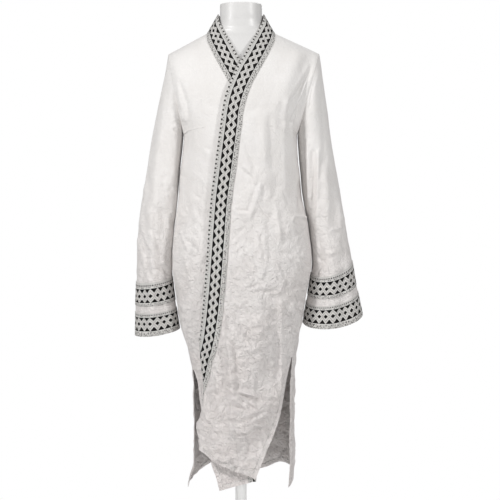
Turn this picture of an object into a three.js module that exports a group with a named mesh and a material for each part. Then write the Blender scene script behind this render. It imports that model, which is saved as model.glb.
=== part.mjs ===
// A long open-front kaftan in off-white linen on a limbless dress form.
// The wearer's left front laps over the right front; both front edges, the neck and the cuffs carry a woven
// trim, and the sides are slit from just below the hips. Units are millimetres, +Z is up, the front faces -Y
// and the origin is the centre of the stand's base, on the floor. Left and right are the wearer's, so that
// the wearer's left is at +X.
import * as THREE from "three";

// Driving dimensions
const CLOTH = 1.5; // wall of the linen
const TRIM = 1.2; // wall of the woven trim
const SEAM = 0.3; // parting between two pieces that are sewn together
const TRIM_WIDTH = 52; // trim on the front edges
const ROUNDNESS = 2.2; // exponent of the body's sections: 2 is an ellipse
const SHOULDER = { front: 60, back: 75 }; // radius of the cloth over the shoulder, in front and behind
const AROUND_ARMHOLE = 10; // rows from the shoulder tip to the underarm, in front and behind
const UNDERARM_LAP = [0, 1.9, 2.4]; // how far outside the body's side the sleeve is set, on the last rows

const LINEN = { color: 0xe9e5df, roughness: 0.9, metalness: 0 };
const WOVEN = { color: 0x8d8982, roughness: 0.85, metalness: 0 };
const SHELL = { color: 0xf1f0ee, roughness: 0.35, metalness: 0 };
const PAINTED = { color: 0xf4f4f2, roughness: 0.4, metalness: 0.1 };

// The cloth round the body: where its outline stands on either side, its reach forward and back of the
// shoulder seams, and how much fuller than its outline the middle of a section is. From 1357 upwards the
// outline is the slope of the shoulders.
const BODY = [
  { z: 1412, low: -77, high: 76, front: 52, back: 66, ease: 0 },
  { z: 1400, low: -99, high: 102, front: 60, back: 72, ease: 0 },
  { z: 1385, low: -126, high: 134, front: 68, back: 78, ease: 0 },
  { z: 1370, low: -154, high: 167, front: 76, back: 83, ease: 0 },
  { z: 1357, low: -178, high: 196, front: 82, back: 87, ease: 0 },
  { z: 1345, low: -187, high: 203, front: 87, back: 90, ease: 0 },
  { z: 1300, low: -191, high: 202, front: 102, back: 96, ease: 0 },
  { z: 1254, low: -180, high: 186, front: 114, back: 97, ease: 0 },
  { z: 1222, low: -169.5, high: 172.5, front: 119, back: 96, ease: 0 },
  { z: 1193, low: -159, high: 159.5, front: 121, back: 95, ease: 2 },
  { z: 1170, low: -150, high: 148.5, front: 122, back: 94, ease: 7 },
  { z: 1155, low: -144, high: 141.5, front: 122, back: 92.5, ease: 12 },
  { z: 1150, low: -142, high: 139, front: 122, back: 92, ease: 14 },
  { z: 1100, low: -146, high: 141, front: 117, back: 89, ease: 10 },
  { z: 1045, low: -153, high: 147, front: 111, back: 88, ease: 4 },
  { z: 1000, low: -155, high: 151, front: 108, back: 93, ease: 0 },
  { z: 942, low: -163, high: 165, front: 106, back: 102, ease: 0 },
  { z: 842, low: -171, high: 176, front: 112, back: 116, ease: 0 },
  { z: 742, low: -160, high: 160, front: 107, back: 112, ease: 0 },
  { z: 667, low: -147, high: 148, front: 101, back: 104, ease: 0 },
  { z: 605, low: -128, high: 136, front: 96, back: 98, ease: 0 },
  { z: 540, low: -119, high: 134, front: 92, back: 94, ease: 0 },
  { z: 420, low: -117, high: 134, front: 90, back: 92, ease: 0 },
  { z: 340, low: -117, high: 134, front: 90, back: 91, ease: 0 },
  { z: 300, low: -127, high: 132, front: 90, back: 94, ease: 0 },
  { z: 270, low: -135, high: 128, front: 90, back: 98, ease: 0 },
];

// Armholes: half an ellipse in front and half behind, from the shoulder tip to the underarm.
const ARMHOLES = {
  right: { sign: -1, tip: [-181, 1355], underarm: [-142, 1150], front: 56, back: 60 },
  left: { sign: 1, tip: [195, 1357], underarm: [139, 1150], front: 56, back: 60 },
};

// The trim on the upper part of the left front; the right front mirrors it. drop is how far the row starts
// below the shoulder tip; seam is the trim's outer edge and edge is the opening edge.
const NECK = [
  { drop: 0, seamX: 82, seamZ: 1409, edgeX: 56, edgeY: 0, edgeZ: 1456 },
  { drop: 6, seamX: 83, seamZ: 1400, edgeX: 55, edgeY: -18, edgeZ: 1440 },
  { drop: 22, seamX: 82, seamZ: 1385, edgeX: 43, edgeY: -38, edgeZ: 1413 },
  { drop: 46, seamX: 71, seamZ: 1356, edgeX: 27, edgeY: -65, edgeZ: 1381 },
  { drop: 76, seamX: 55, seamZ: 1324, edgeX: 10, edgeY: -83, edgeZ: 1346 },
  { drop: 106, seamX: 38, seamZ: 1293, edgeX: -8, edgeY: -94, edgeZ: 1315 },
  { drop: 136, seamX: 23, seamZ: 1262, edgeX: -23, edgeY: -104, edgeZ: 1281 },
  { drop: 164, seamX: 12, seamZ: 1229, edgeX: -37, edgeY: -111, edgeZ: 1243 },
  { drop: 188, seamX: 5, seamZ: 1199, edgeX: -44, edgeY: -114, edgeZ: 1208 },
  { drop: 207, seamX: 2, seamZ: 1173, edgeX: -48, edgeY: -115, edgeZ: 1180 },
];

// The fronts below the underarm. side is the slit's edge below the slit's top; fold is the outline of the
// opening edge, of which turned is rolled behind in a curl.
const LEFT_FRONT = {
  top: { side: 1150, fold: 1180 },
  hem: { side: 308, fold: 380 },
  slit: [
    { z: 603, x: 125 },
    { z: 566, x: 116 },
    { z: 539, x: 110 },
    { z: 498, x: 103 },
    { z: 462, x: 96 },
    { z: 416, x: 81 },
    { z: 377, x: 64 },
    { z: 343, x: 50 },
    { z: 306, x: 35 },
  ],
  opening: [
    { z: 1180, fold: -48, turned: 0, curl: 1 },
    { z: 1060, fold: -64, turned: 0, curl: 1 },
    { z: 986, fold: -73, turned: 0, curl: 1 },
    { z: 875, fold: -81, turned: 0, curl: 1 },
    { z: 777, fold: -88, turned: 0, curl: 1 },
    { z: 720, fold: -93, turned: 0, curl: 1 },
    { z: 662, fold: -98, turned: 1, curl: 3 },
    { z: 632, fold: -100, turned: 7, curl: 3.5 },
    { z: 594, fold: -97, turned: 22, curl: 4 },
    { z: 541, fold: -91, turned: 50, curl: 4.5 },
    { z: 500, fold: -93, turned: 56, curl: 4.5 },
    { z: 464, fold: -101, turned: 62, curl: 5 },
    { z: 430, fold: -110, turned: 70, curl: 5 },
    { z: 405, fold: -103, turned: 66, curl: 5 },
    { z: 380, fold: -102, turned: 64, curl: 5 },
  ],
};
const RIGHT_FRONT = {
  top: { side: 1150, fold: 1180 },
  hem: { side: 279, fold: 303 },
  slit: [
    { z: 570, x: -116 },
    { z: 540, x: -106 },
    { z: 498, x: -101 },
    { z: 475, x: -97 },
    { z: 440, x: -86 },
    { z: 400, x: -78 },
    { z: 348, x: -73 },
    { z: 310, x: -60 },
    { z: 279, x: -52 },
  ],
  opening: [
    { z: 1180, fold: 48, turned: 0, curl: 1 },
    { z: 1060, fold: 54, turned: 0, curl: 1 },
    { z: 800, fold: 64, turned: 0, curl: 1 },
    { z: 600, fold: 58, turned: 0, curl: 1 },
    { z: 420, fold: 46, turned: 0, curl: 1 },
    { z: 303, fold: 36, turned: 0, curl: 1 },
  ],
};
// How far the side seams have swung forward from the outline, in degrees, above and at the slits.
const SWING = [
  { z: 860, left: 0, right: 0 },
  { z: 740, left: 6, right: 3 },
  { z: 603, left: 22, right: 11 },
  { z: 500, left: 27, right: 9 },
  { z: 283, left: 27, right: 8 },
];
// How far each front stands off the body's section, and how far the left one is set out past the middle.
const LAYERS = [
  { z: 1400, left: 0, right: 0, spread: 0 },
  { z: 1340, left: 8, right: 0, spread: 0 },
  { z: 720, left: 9, right: 0, spread: 0 },
  { z: 600, left: 19, right: -5, spread: 5 },
  { z: 500, left: 20, right: -6, spread: 9 },
  { z: 250, left: 22, right: -7, spread: 9 },
];
// The back's hem, from the left slit round to the right one.
const BACK_HEM = [
  { share: 0, z: 281 },
  { share: 0.06, z: 290 },
  { share: 0.14, z: 308 },
  { share: 0.23, z: 323 },
  { share: 0.32, z: 330 },
  { share: 0.46, z: 309 },
  { share: 0.58, z: 309 },
  { share: 0.7, z: 328 },
  { share: 0.77, z: 318 },
  { share: 0.88, z: 292 },
  { share: 1, z: 278 },
];
// The neckline behind: its seam with the back, and the opening edge of the neckband.
const NECKLINE = { middle: -0.5, half: 82.5, z: 1409, sag: 3, edgeHalf: 56, edgeReach: 53, edgeZ: 1456, edgeSag: 4 };

// Sleeves, from the armhole to the cuff: the outer and inner ends of each section, its reach forward and
// back of its own middle, where that middle is, and how far its front hangs. The last four sections are
// the edges of the two trims.
const SLEEVES = {
  left: [
    { outerX: 199, outerZ: 1334, innerX: 145, innerZ: 1122, front: 57, back: 60, middle: 0, dip: 0 },
    { outerX: 204, outerZ: 1295, innerX: 150, innerZ: 1088, front: 57, back: 58, middle: 1, dip: 0 },
    { outerX: 210, outerZ: 1255, innerX: 154, innerZ: 1055, front: 56, back: 56, middle: 3, dip: 2 },
    { outerX: 217, outerZ: 1207, innerX: 157, innerZ: 1018, front: 54, back: 55, middle: 5, dip: 4 },
    { outerX: 224, outerZ: 1150, innerX: 163, innerZ: 975, front: 52, back: 54, middle: 8, dip: 6 },
    { outerX: 234, outerZ: 1090, innerX: 173, innerZ: 936, front: 50, back: 54, middle: 10, dip: 8 },
    { outerX: 246, outerZ: 1025, innerX: 182, innerZ: 898, front: 49, back: 54, middle: 12, dip: 10 },
    { outerX: 256, outerZ: 970, innerX: 187, innerZ: 868, front: 48, back: 54, middle: 14, dip: 14 },
    { outerX: 266, outerZ: 905, innerX: 184, innerZ: 840, front: 48, back: 55, middle: 15, dip: 19 },
    { outerX: 278, outerZ: 842, innerX: 178, innerZ: 812, front: 49, back: 56, middle: 16, dip: 22 },
    { outerX: 288, outerZ: 783, innerX: 169, innerZ: 760, front: 51, back: 57, middle: 17, dip: 23 },
    { outerX: 292, outerZ: 765, innerX: 166, innerZ: 742, front: 52, back: 57, middle: 17, dip: 23 },
    { outerX: 304, outerZ: 708, innerX: 157, innerZ: 688, front: 54, back: 58, middle: 18, dip: 25 },
  ],
  right: [
    { outerX: -185, outerZ: 1330, innerX: -146, innerZ: 1120, front: 57, back: 60, middle: 0, dip: 0 },
    { outerX: -191, outerZ: 1297, innerX: -151, innerZ: 1086, front: 57, back: 58, middle: 1, dip: 0 },
    { outerX: -199, outerZ: 1262, innerX: -156, innerZ: 1050, front: 56, back: 56, middle: 3, dip: 1 },
    { outerX: -210, outerZ: 1210, innerX: -161, innerZ: 1012, front: 54, back: 55, middle: 5, dip: 2 },
    { outerX: -224, outerZ: 1140, innerX: -167, innerZ: 970, front: 52, back: 54, middle: 8, dip: 3 },
    { outerX: -236, outerZ: 1062, innerX: -173, innerZ: 930, front: 50, back: 54, middle: 10, dip: 4 },
    { outerX: -249, outerZ: 985, innerX: -177, innerZ: 892, front: 49, back: 54, middle: 12, dip: 5 },
    { outerX: -257, outerZ: 922, innerX: -179, innerZ: 858, front: 48, back: 54, middle: 14, dip: 6 },
    { outerX: -261, outerZ: 858, innerX: -180, innerZ: 830, front: 48, back: 55, middle: 15, dip: 8 },
    { outerX: -262, outerZ: 790, innerX: -176, innerZ: 802, front: 49, back: 56, middle: 16, dip: 9 },
    { outerX: -264, outerZ: 732, innerX: -168, innerZ: 744, front: 51, back: 57, middle: 17, dip: 9 },
    { outerX: -264, outerZ: 714, innerX: -165, innerZ: 726, front: 52, back: 57, middle: 17, dip: 9 },
    { outerX: -265, outerZ: 656, innerX: -154, innerZ: 672, front: 54, back: 58, middle: 18, dip: 9 },
  ],
};

// The largest folds in front, as straight runs across the front view: each lifts (or sinks) the cloth by
// height along the run and dies away over spread to either side.
const FOLDS = [
  { fromX: 168, fromZ: 1335, toX: 130, toZ: 1205, spread: 14, height: -7 },
  { fromX: 190, fromZ: 1325, toX: 152, toZ: 1175, spread: 12, height: 5 },
  { fromX: 140, fromZ: 1345, toX: 100, toZ: 1230, spread: 16, height: 5 },
  { fromX: -160, fromZ: 1305, toX: -134, toZ: 1195, spread: 14, height: 6 },
  { fromX: -26, fromZ: 640, toX: -20, toZ: 370, spread: 22, height: 7 },
  { fromX: 5, fromZ: 950, toX: 45, toZ: 1030, spread: 18, height: 5 },
  { fromX: 100, fromZ: 866, toX: 168, toZ: 820, spread: 20, height: -7 },
  { fromX: 118, fromZ: 935, toX: 165, toZ: 962, spread: 18, height: 5 },
  { fromX: 95, fromZ: 520, toX: 20, toZ: 440, spread: 20, height: 8 },
  { fromX: 70, fromZ: 440, toX: 0, toZ: 370, spread: 16, height: -6 },
  { fromX: 60, fromZ: 720, toX: 25, toZ: 560, spread: 22, height: 6 },
  { fromX: 100, fromZ: 690, toX: 70, toZ: 560, spread: 18, height: -6 },
  { fromX: 250, fromZ: 960, toX: 258, toZ: 720, spread: 13, height: -8 },
  { fromX: 222, fromZ: 1120, toX: 226, toZ: 700, spread: 13, height: 7 },
  { fromX: 196, fromZ: 900, toX: 190, toZ: 700, spread: 10, height: -4 },
  { fromX: -214, fromZ: 1160, toX: -222, toZ: 680, spread: 12, height: 7 },
  { fromX: -244, fromZ: 1000, toX: -246, toZ: 680, spread: 11, height: -7 },
  { fromX: -192, fromZ: 960, toX: -190, toZ: 700, spread: 10, height: -6 },
];

// The dress form under the cloth, from its neck to its flat underside: half width, and reach forward and
// back.
const FORM = [
  { z: 1480, half: 52.5, front: 48, back: 50 },
  { z: 1452, half: 52.5, front: 46, back: 48 },
  { z: 1436, half: 53, front: 44, back: 48 },
  { z: 1422, half: 57, front: 44, back: 51 },
  { z: 1413, half: 65, front: 46, back: 56 },
  { z: 1405, half: 79, front: 48, back: 60 },
  { z: 1395, half: 98, front: 55, back: 66 },
  { z: 1380, half: 126, front: 63, back: 73 },
  { z: 1366, half: 152, front: 70, back: 78 },
  { z: 1354, half: 171, front: 75, back: 81 },
  { z: 1340, half: 177, front: 80, back: 84 },
  { z: 1300, half: 172, front: 94, back: 89 },
  { z: 1254, half: 158, front: 105, back: 90 },
  { z: 1190, half: 141, front: 112, back: 88 },
  { z: 1150, half: 133, front: 112, back: 85 },
  { z: 1045, half: 118, front: 92, back: 76 },
  { z: 942, half: 144, front: 94, back: 92 },
  { z: 842, half: 163, front: 102, back: 108 },
  { z: 742, half: 156, front: 98, back: 104 },
  { z: 680, half: 142, front: 92, back: 96 },
];
const STAND = { poleDiameter: 28, poleInset: 40, baseDiameter: 340, baseHeight: 12, baseRim: 3 };

// --- numbers along a table --------------------------------------------------------------------------------

// A smooth function through one column of a table, in either order of its key.
function along(rows, key, column) {
  const sorted = [...rows].sort((a, b) => a[key] - b[key]);
  const slope = (i) => (sorted[i + 1][column] - sorted[i][column]) / (sorted[i + 1][key] - sorted[i][key]);
  const tangent = (i) => {
    if (i === 0) return slope(0);
    if (i === sorted.length - 1) return slope(i - 1);
    const [before, after] = [slope(i - 1), slope(i)];
    return before * after <= 0 ? 0 : (2 * before * after) / (before + after);
  };
  return (at) => {
    const last = sorted.length - 1;
    if (at <= sorted[0][key]) return sorted[0][column];
    if (at >= sorted[last][key]) return sorted[last][column];
    let i = 0;
    while (sorted[i + 1][key] < at) i += 1;
    const span = sorted[i + 1][key] - sorted[i][key];
    const t = (at - sorted[i][key]) / span;
    return (
      sorted[i][column] * (2 * t ** 3 - 3 * t ** 2 + 1) +
      tangent(i) * span * (t ** 3 - 2 * t ** 2 + t) +
      sorted[i + 1][column] * (3 * t ** 2 - 2 * t ** 3) +
      tangent(i + 1) * span * (t ** 3 - t ** 2)
    );
  };
}
const columns = (rows, key, names) => Object.fromEntries(names.map((name) => [name, along(rows, key, name)]));
const mix = (a, b, t) => a + (b - a) * t;
const smooth = (t) => {
  const c = Math.max(0, Math.min(1, t));
  return c * c * (3 - 2 * c);
};
const vec = (x, y, z) => new THREE.Vector3(x, y, z);
const counted = (n) => Array.from({ length: n }, (_, i) => i);

// --- the body's sections ----------------------------------------------------------------------------------

const body = columns(BODY, "z", ["low", "high", "front", "back", "ease"]);
const layers = columns(LAYERS, "z", ["left", "right", "spread"]);
const swing = columns(SWING, "z", ["left", "right"]);

// Height of the shoulder seams' line over x, carried on towards the neck.
function shoulderLine(x) {
  const hole = x < 0 ? ARMHOLES.right : ARMHOLES.left;
  const rise = (NECK[0].seamZ - hole.tip[1]) / (Math.abs(hole.tip[0]) - NECK[0].seamX);
  return NECK[0].seamZ + (NECK[0].seamX - Math.abs(x)) * rise;
}
// A reach that never stands out further than the roundness of the shoulder allows.
function overShoulder(reach, x, z, radius) {
  const depth = Math.sqrt(2 * radius * Math.max(0.01, shoulderLine(x) - z));
  return (Math.max(reach, 0.01) ** -6 + depth ** -6) ** (-1 / 6);
}
// A point of the body's section; the angle is 0 at the wearer's left, a quarter turn in the middle of the
// front (face -1) or back (face 1), and half a turn at the right.
function sectionPoint(angle, z, face, lift) {
  const c = Math.cos(angle);
  const half = c >= 0 ? body.high(z) : -body.low(z);
  const x = Math.sign(c) * half * Math.abs(c) ** (2 / ROUNDNESS);
  return vec(x, sectionY(x, z, face, lift), z);
}
function sectionY(x, z, face, lift) {
  const half = x >= 0 ? body.high(z) : -body.low(z);
  const reach = (face < 0 ? body.front(z) : body.back(z)) + lift;
  const near = Math.min(1, Math.abs(x) / half);
  const share = Math.min(1, Math.abs(x) / (half + body.ease(z) * (1 - near ** 8)));
  const y = reach * (1 - share ** ROUNDNESS) ** (1 / ROUNDNESS);
  return face * overShoulder(y, x, z, face < 0 ? SHOULDER.front : SHOULDER.back);
}
const angleAt = (x, z) => {
  const half = x >= 0 ? body.high(z) : -body.low(z);
  const angle = Math.acos(Math.min(1, Math.abs(x) / half) ** (ROUNDNESS / 2));
  return x >= 0 ? angle : Math.PI - angle;
};
// A point of an armhole; turn runs from 0 at the shoulder tip to half a circle at the underarm.
const turnAt = (i) => (Math.PI * i) / AROUND_ARMHOLE;
const dropAt = (hole, i) => ((hole.tip[1] - hole.underarm[1]) * (1 - Math.cos(turnAt(i)))) / 2;
function armholePoint(hole, i, face) {
  const turn = turnAt(i);
  const reach = (face < 0 ? hole.front : hole.back) * Math.sin(turn);
  const down = (1 - Math.cos(turn)) / 2;
  return vec(mix(hole.tip[0], hole.underarm[0], down), face * (reach + SEAM / 2), mix(hole.tip[1], hole.underarm[1], down));
}
// Moves a point of the front by the folds; the side and shoulder seams stay where they are.
function folded(p) {
  const hold = smooth((-p.y - 12) / 30);
  const lift = FOLDS.reduce((sum, fold) => {
    const [dx, dz] = [fold.toX - fold.fromX, fold.toZ - fold.fromZ];
    const [px, pz] = [p.x - fold.fromX, p.z - fold.fromZ];
    const t = Math.max(0, Math.min(1, (px * dx + pz * dz) / (dx * dx + dz * dz)));
    const away = Math.hypot(px - t * dx, pz - t * dz) / fold.spread;
    return sum + fold.height * Math.exp(-0.5 * away * away);
  }, 0);
  return vec(p.x, p.y - lift * hold, p.z);
}

// --- solids from grids ------------------------------------------------------------------------------------

// Unit normals of a grid of points; a closed grid runs round in its rows.
function normalsOf(grid, closed, sign) {
  const rows = grid.length;
  const cols = grid[0].length;
  return grid.map((row, i) =>
    row.map((_, j) => {
      const before = closed ? row[(j + cols - 1) % cols] : row[Math.max(0, j - 1)];
      const after = closed ? row[(j + 1) % cols] : row[Math.min(cols - 1, j + 1)];
      const down = grid[Math.min(rows - 1, i + 1)][j].clone().sub(grid[Math.max(0, i - 1)][j]);
      return down.cross(after.clone().sub(before)).multiplyScalar(sign).normalize();
    }),
  );
}
const moved = (sheet, by) => sheet.grid.map((row, i) => row.map((p, j) => p.clone().addScaledVector(sheet.normals[i][j], by)));

// A closed wall between an outer and an inner grid; sign is 1 where the rows run to the right seen from
// outside.
function wallBetween(outer, inner, closed, sign) {
  const rows = outer.length;
  const cols = outer[0].length;
  const at = (side, i, j) => side * rows * cols + i * cols + (j % cols);
  const index = [];
  const quad = (a, b, c, d) => (sign > 0 ? index.push(a, b, c, a, c, d) : index.push(a, c, b, a, d, c));
  const spans = counted(closed ? cols : cols - 1);
  counted(rows - 1).forEach((i) =>
    spans.forEach((j) => {
      quad(at(0, i, j), at(0, i + 1, j), at(0, i + 1, j + 1), at(0, i, j + 1));
      quad(at(1, i, j), at(1, i, j + 1), at(1, i + 1, j + 1), at(1, i + 1, j));
    }),
  );
  spans.forEach((j) => {
    quad(at(0, 0, j), at(0, 0, j + 1), at(1, 0, j + 1), at(1, 0, j));
    quad(at(0, rows - 1, j + 1), at(0, rows - 1, j), at(1, rows - 1, j), at(1, rows - 1, j + 1));
  });
  if (!closed)
    counted(rows - 1).forEach((i) => {
      quad(at(0, i + 1, 0), at(0, i, 0), at(1, i, 0), at(1, i + 1, 0));
      quad(at(0, i, cols - 1), at(0, i + 1, cols - 1), at(1, i + 1, cols - 1), at(1, i, cols - 1));
    });
  return solid([...outer.flat(), ...inner.flat()], index);
}
function solid(points, index) {
  const geometry = new THREE.BufferGeometry();
  geometry.setAttribute("position", new THREE.Float32BufferAttribute(points.flatMap((p) => [p.x, p.y, p.z]), 3));
  geometry.setIndex(index);
  geometry.computeVertexNormals();
  return geometry;
}
const clothOf = (sheet) => wallBetween(moved(sheet, CLOTH / 2), moved(sheet, -CLOTH / 2), sheet.closed, sheet.sign);
// Woven trim on part of a sheet: the sheet's own points, moved out past its face and the parting.
function trimOn(sheet, rowsFrom, rowsTo, colsFrom, colsTo) {
  const part = (list) => list.slice(rowsFrom, rowsTo + 1).map((row) => (sheet.closed ? row : row.slice(colsFrom, colsTo + 1)));
  const strip = { ...sheet, grid: part(sheet.grid), normals: part(sheet.normals) };
  return wallBetween(moved(strip, CLOTH / 2 + SEAM + TRIM), moved(strip, CLOTH / 2 + SEAM), sheet.closed, sheet.sign);
}
const level = (normal) => vec(normal.x, 0, normal.z).normalize();

// --- the fronts -------------------------------------------------------------------------------------------

const CLOTH_SPANS = 11;
const TRIM_SPANS = 4;
const SIDE_ROWS = 15; // rows from the underarm to the slit's top
const SLIT_ROWS = 9; // rows from there to the hem
const LOWER_ROWS = SIDE_ROWS + SLIT_ROWS;
const rowZ = (top, slit, hem, i) => (i <= SIDE_ROWS ? mix(top, slit, i / SIDE_ROWS) : mix(slit, hem, (i - SIDE_ROWS) / SLIT_ROWS));

function frontSheet(side) {
  const hole = ARMHOLES[side];
  const design = side === "left" ? LEFT_FRONT : RIGHT_FRONT;
  const neck = columns(NECK, "drop", ["seamX", "seamZ", "edgeX", "edgeY", "edgeZ"]);
  const slitX = along(design.slit, "z", "x");
  const opening = columns(design.opening, "z", ["fold", "turned", "curl"]);
  const slitTop = design.slit[0].z;
  // The lap grows from nothing at the side and shoulder seams.
  const liftAt = (t, z) => layers[side](z) * smooth(t / 0.6);

  const lower = counted(LOWER_ROWS + 1).map((i) => {
    const down = i / LOWER_ROWS;
    const sideZ = rowZ(design.top.side, slitTop, design.hem.side, i);
    const foldZ = mix(design.top.fold, design.hem.fold, down);
    const swung = (swing[side](sideZ) * Math.PI) / 180;
    const seamAngle = side === "left" ? swung : Math.PI - swung;
    const sideAngle = sideZ >= slitTop ? seamAngle : angleAt(slitX(sideZ), sideZ);
    const spread = side === "left" ? layers.spread(foldZ) : 0;
    const foldAngle = angleAt(opening.fold(foldZ) + spread, foldZ);
    const path = counted(97).map((k) => {
      const t = k / 96;
      const z = mix(sideZ, foldZ, t);
      const point = sectionPoint(mix(sideAngle, foldAngle, t), z, -1, liftAt(t, z));
      return vec(point.x - spread * smooth(-point.x / 60), point.y, point.z);
    });
    return parted(curledRow(path, opening.turned(foldZ), opening.curl(foldZ)));
  });
  // How the points of the underarm's row are spaced, which the rows above take over little by little.
  const [first, last] = [lower[0][0], lower[0][CLOTH_SPANS]];
  const spacing = lower[0].map((p) => ({ x: (p.x - first.x) / (last.x - first.x), z: (p.z - first.z) / (last.z - first.z) }));
  const upper = counted(AROUND_ARMHOLE).map((i) => {
    const drop = Math.min(207, dropAt(hole, i));
    const start = armholePoint(hole, i, -1);
    const seam = vec(hole.sign * neck.seamX(drop), 0, neck.seamZ(drop));
    const edge = vec(hole.sign * neck.edgeX(drop), neck.edgeY(drop) - layers[side](neck.edgeZ(drop)), neck.edgeZ(drop));
    const miss = start.y - sectionY(start.x, start.z, -1, 0);
    const down = (1 - Math.cos(turnAt(i))) / 2;
    const cloth = counted(CLOTH_SPANS + 1).map((j) => {
      const t = j / CLOTH_SPANS;
      const x = mix(start.x, seam.x, mix(t, spacing[j].x, down));
      const z = mix(start.z, seam.z, mix(t, spacing[j].z, down));
      const y = i === 0 ? -SEAM / 2 : sectionY(x, z, -1, liftAt(0.74 * t, z)) + miss * (1 - t) ** 4;
      return vec(x, y, z);
    });
    const from = cloth[CLOTH_SPANS];
    const band = counted(TRIM_SPANS).map((j) => {
      const t = (j + 1) / TRIM_SPANS;
      const bulge = i === 0 ? 0 : 9 * t * (1 - t);
      return vec(mix(from.x, edge.x, t), i === 0 ? -SEAM / 2 : mix(from.y, edge.y, t) - bulge, mix(from.z, edge.z, t));
    });
    return [...cloth, ...band];
  });

  const grid = [...upper, ...lower].map((row) => row.map(folded));
  return { grid, closed: false, sign: -hole.sign };
}

// A row whose ends stand back from their seams by half the parting.
function parted(row, both) {
  const back = (a, b) => a.clone().addScaledVector(b.clone().sub(a).normalize(), 0.7 * SEAM);
  const last = row.length - 1;
  return row.map((p, j) => (j === 0 ? back(p, row[1]) : j === last && both ? back(p, row[last - 1]) : p));
}

// Points at even steps along a path, the last ones the trim's. What is turned runs on behind the path's end
// in a curl, and then back along the path.
function curledRow(path, turned, curl) {
  const lengths = path.reduce((list, p, k) => [...list, k === 0 ? 0 : list[k - 1] + p.distanceTo(path[k - 1])], []);
  const whole = lengths[path.length - 1];
  const radius = turned > 0 ? Math.min(curl, turned * 0.5 + 0.5) : 0;
  const bend = whole - radius;
  const length = turned > 0 ? bend + (Math.PI * radius) / 2 + turned : whole;
  const pathAt = (s) => {
    const k = Math.max(1, lengths.findIndex((value, n) => n > 0 && (value >= s || n === path.length - 1)));
    const t = (s - lengths[k - 1]) / (lengths[k] - lengths[k - 1]);
    const along = path[k].clone().sub(path[k - 1]);
    const tangent = vec(along.x, along.y, 0).normalize();
    const inward = path[path.length - 1].x < path[0].x ? vec(-tangent.y, tangent.x, 0).negate() : vec(-tangent.y, tangent.x, 0);
    return { point: path[k - 1].clone().addScaledVector(along, t), tangent, inward };
  };
  const place = (s) => {
    if (s <= bend || radius === 0) return pathAt(s).point;
    const turn = (s - bend) / radius;
    if (turn < Math.PI) {
      const at = pathAt(bend);
      return at.point.addScaledVector(at.tangent, radius * Math.sin(turn)).addScaledVector(at.inward, radius * (1 - Math.cos(turn)));
    }
    const at = pathAt(bend - (s - bend - Math.PI * radius));
    return at.point.addScaledVector(at.inward, 2 * radius);
  };
  const seam = length - TRIM_WIDTH;
  // One of the points always stands on the fold itself, whether that crosses the trim or the plain cloth.
  const fold = length - turned;
  const steps = (from, to, n) => counted(n).map((k) => mix(from, to, (k + 1) / n));
  const inTrim = turned > 4 && fold > seam + 4;
  const inCloth = fold < seam - 3;
  const before = Math.max(1, Math.min(TRIM_SPANS - 1, Math.round(((fold - seam) * TRIM_SPANS) / TRIM_WIDTH)));
  const cloth = inCloth ? [...steps(0, fold, CLOTH_SPANS - 1), seam] : steps(0, seam, CLOTH_SPANS);
  const trim = inTrim ? [...steps(seam, fold, before), ...steps(fold, length, TRIM_SPANS - before)] : steps(seam, length, TRIM_SPANS);
  return [0, ...cloth, ...trim].map(place);
}

// --- the back and the neckband ----------------------------------------------------------------------------

const SHOULDER_SPANS = 6;
const NECK_SPANS = 10;
const BACK_SPANS = 2 * SHOULDER_SPANS + NECK_SPANS;

const necklineAt = (t) => {
  const angle = Math.PI * t;
  const x = NECKLINE.middle + NECKLINE.half * Math.cos(angle);
  const z = NECKLINE.z - NECKLINE.sag * Math.sin(angle);
  const y = t === 0 || t === 1 ? SEAM / 2 : sectionY(x, z, 1, 0) * smooth(0.25 + 3 * Math.sin(angle));
  return vec(x, y, z);
};

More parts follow.
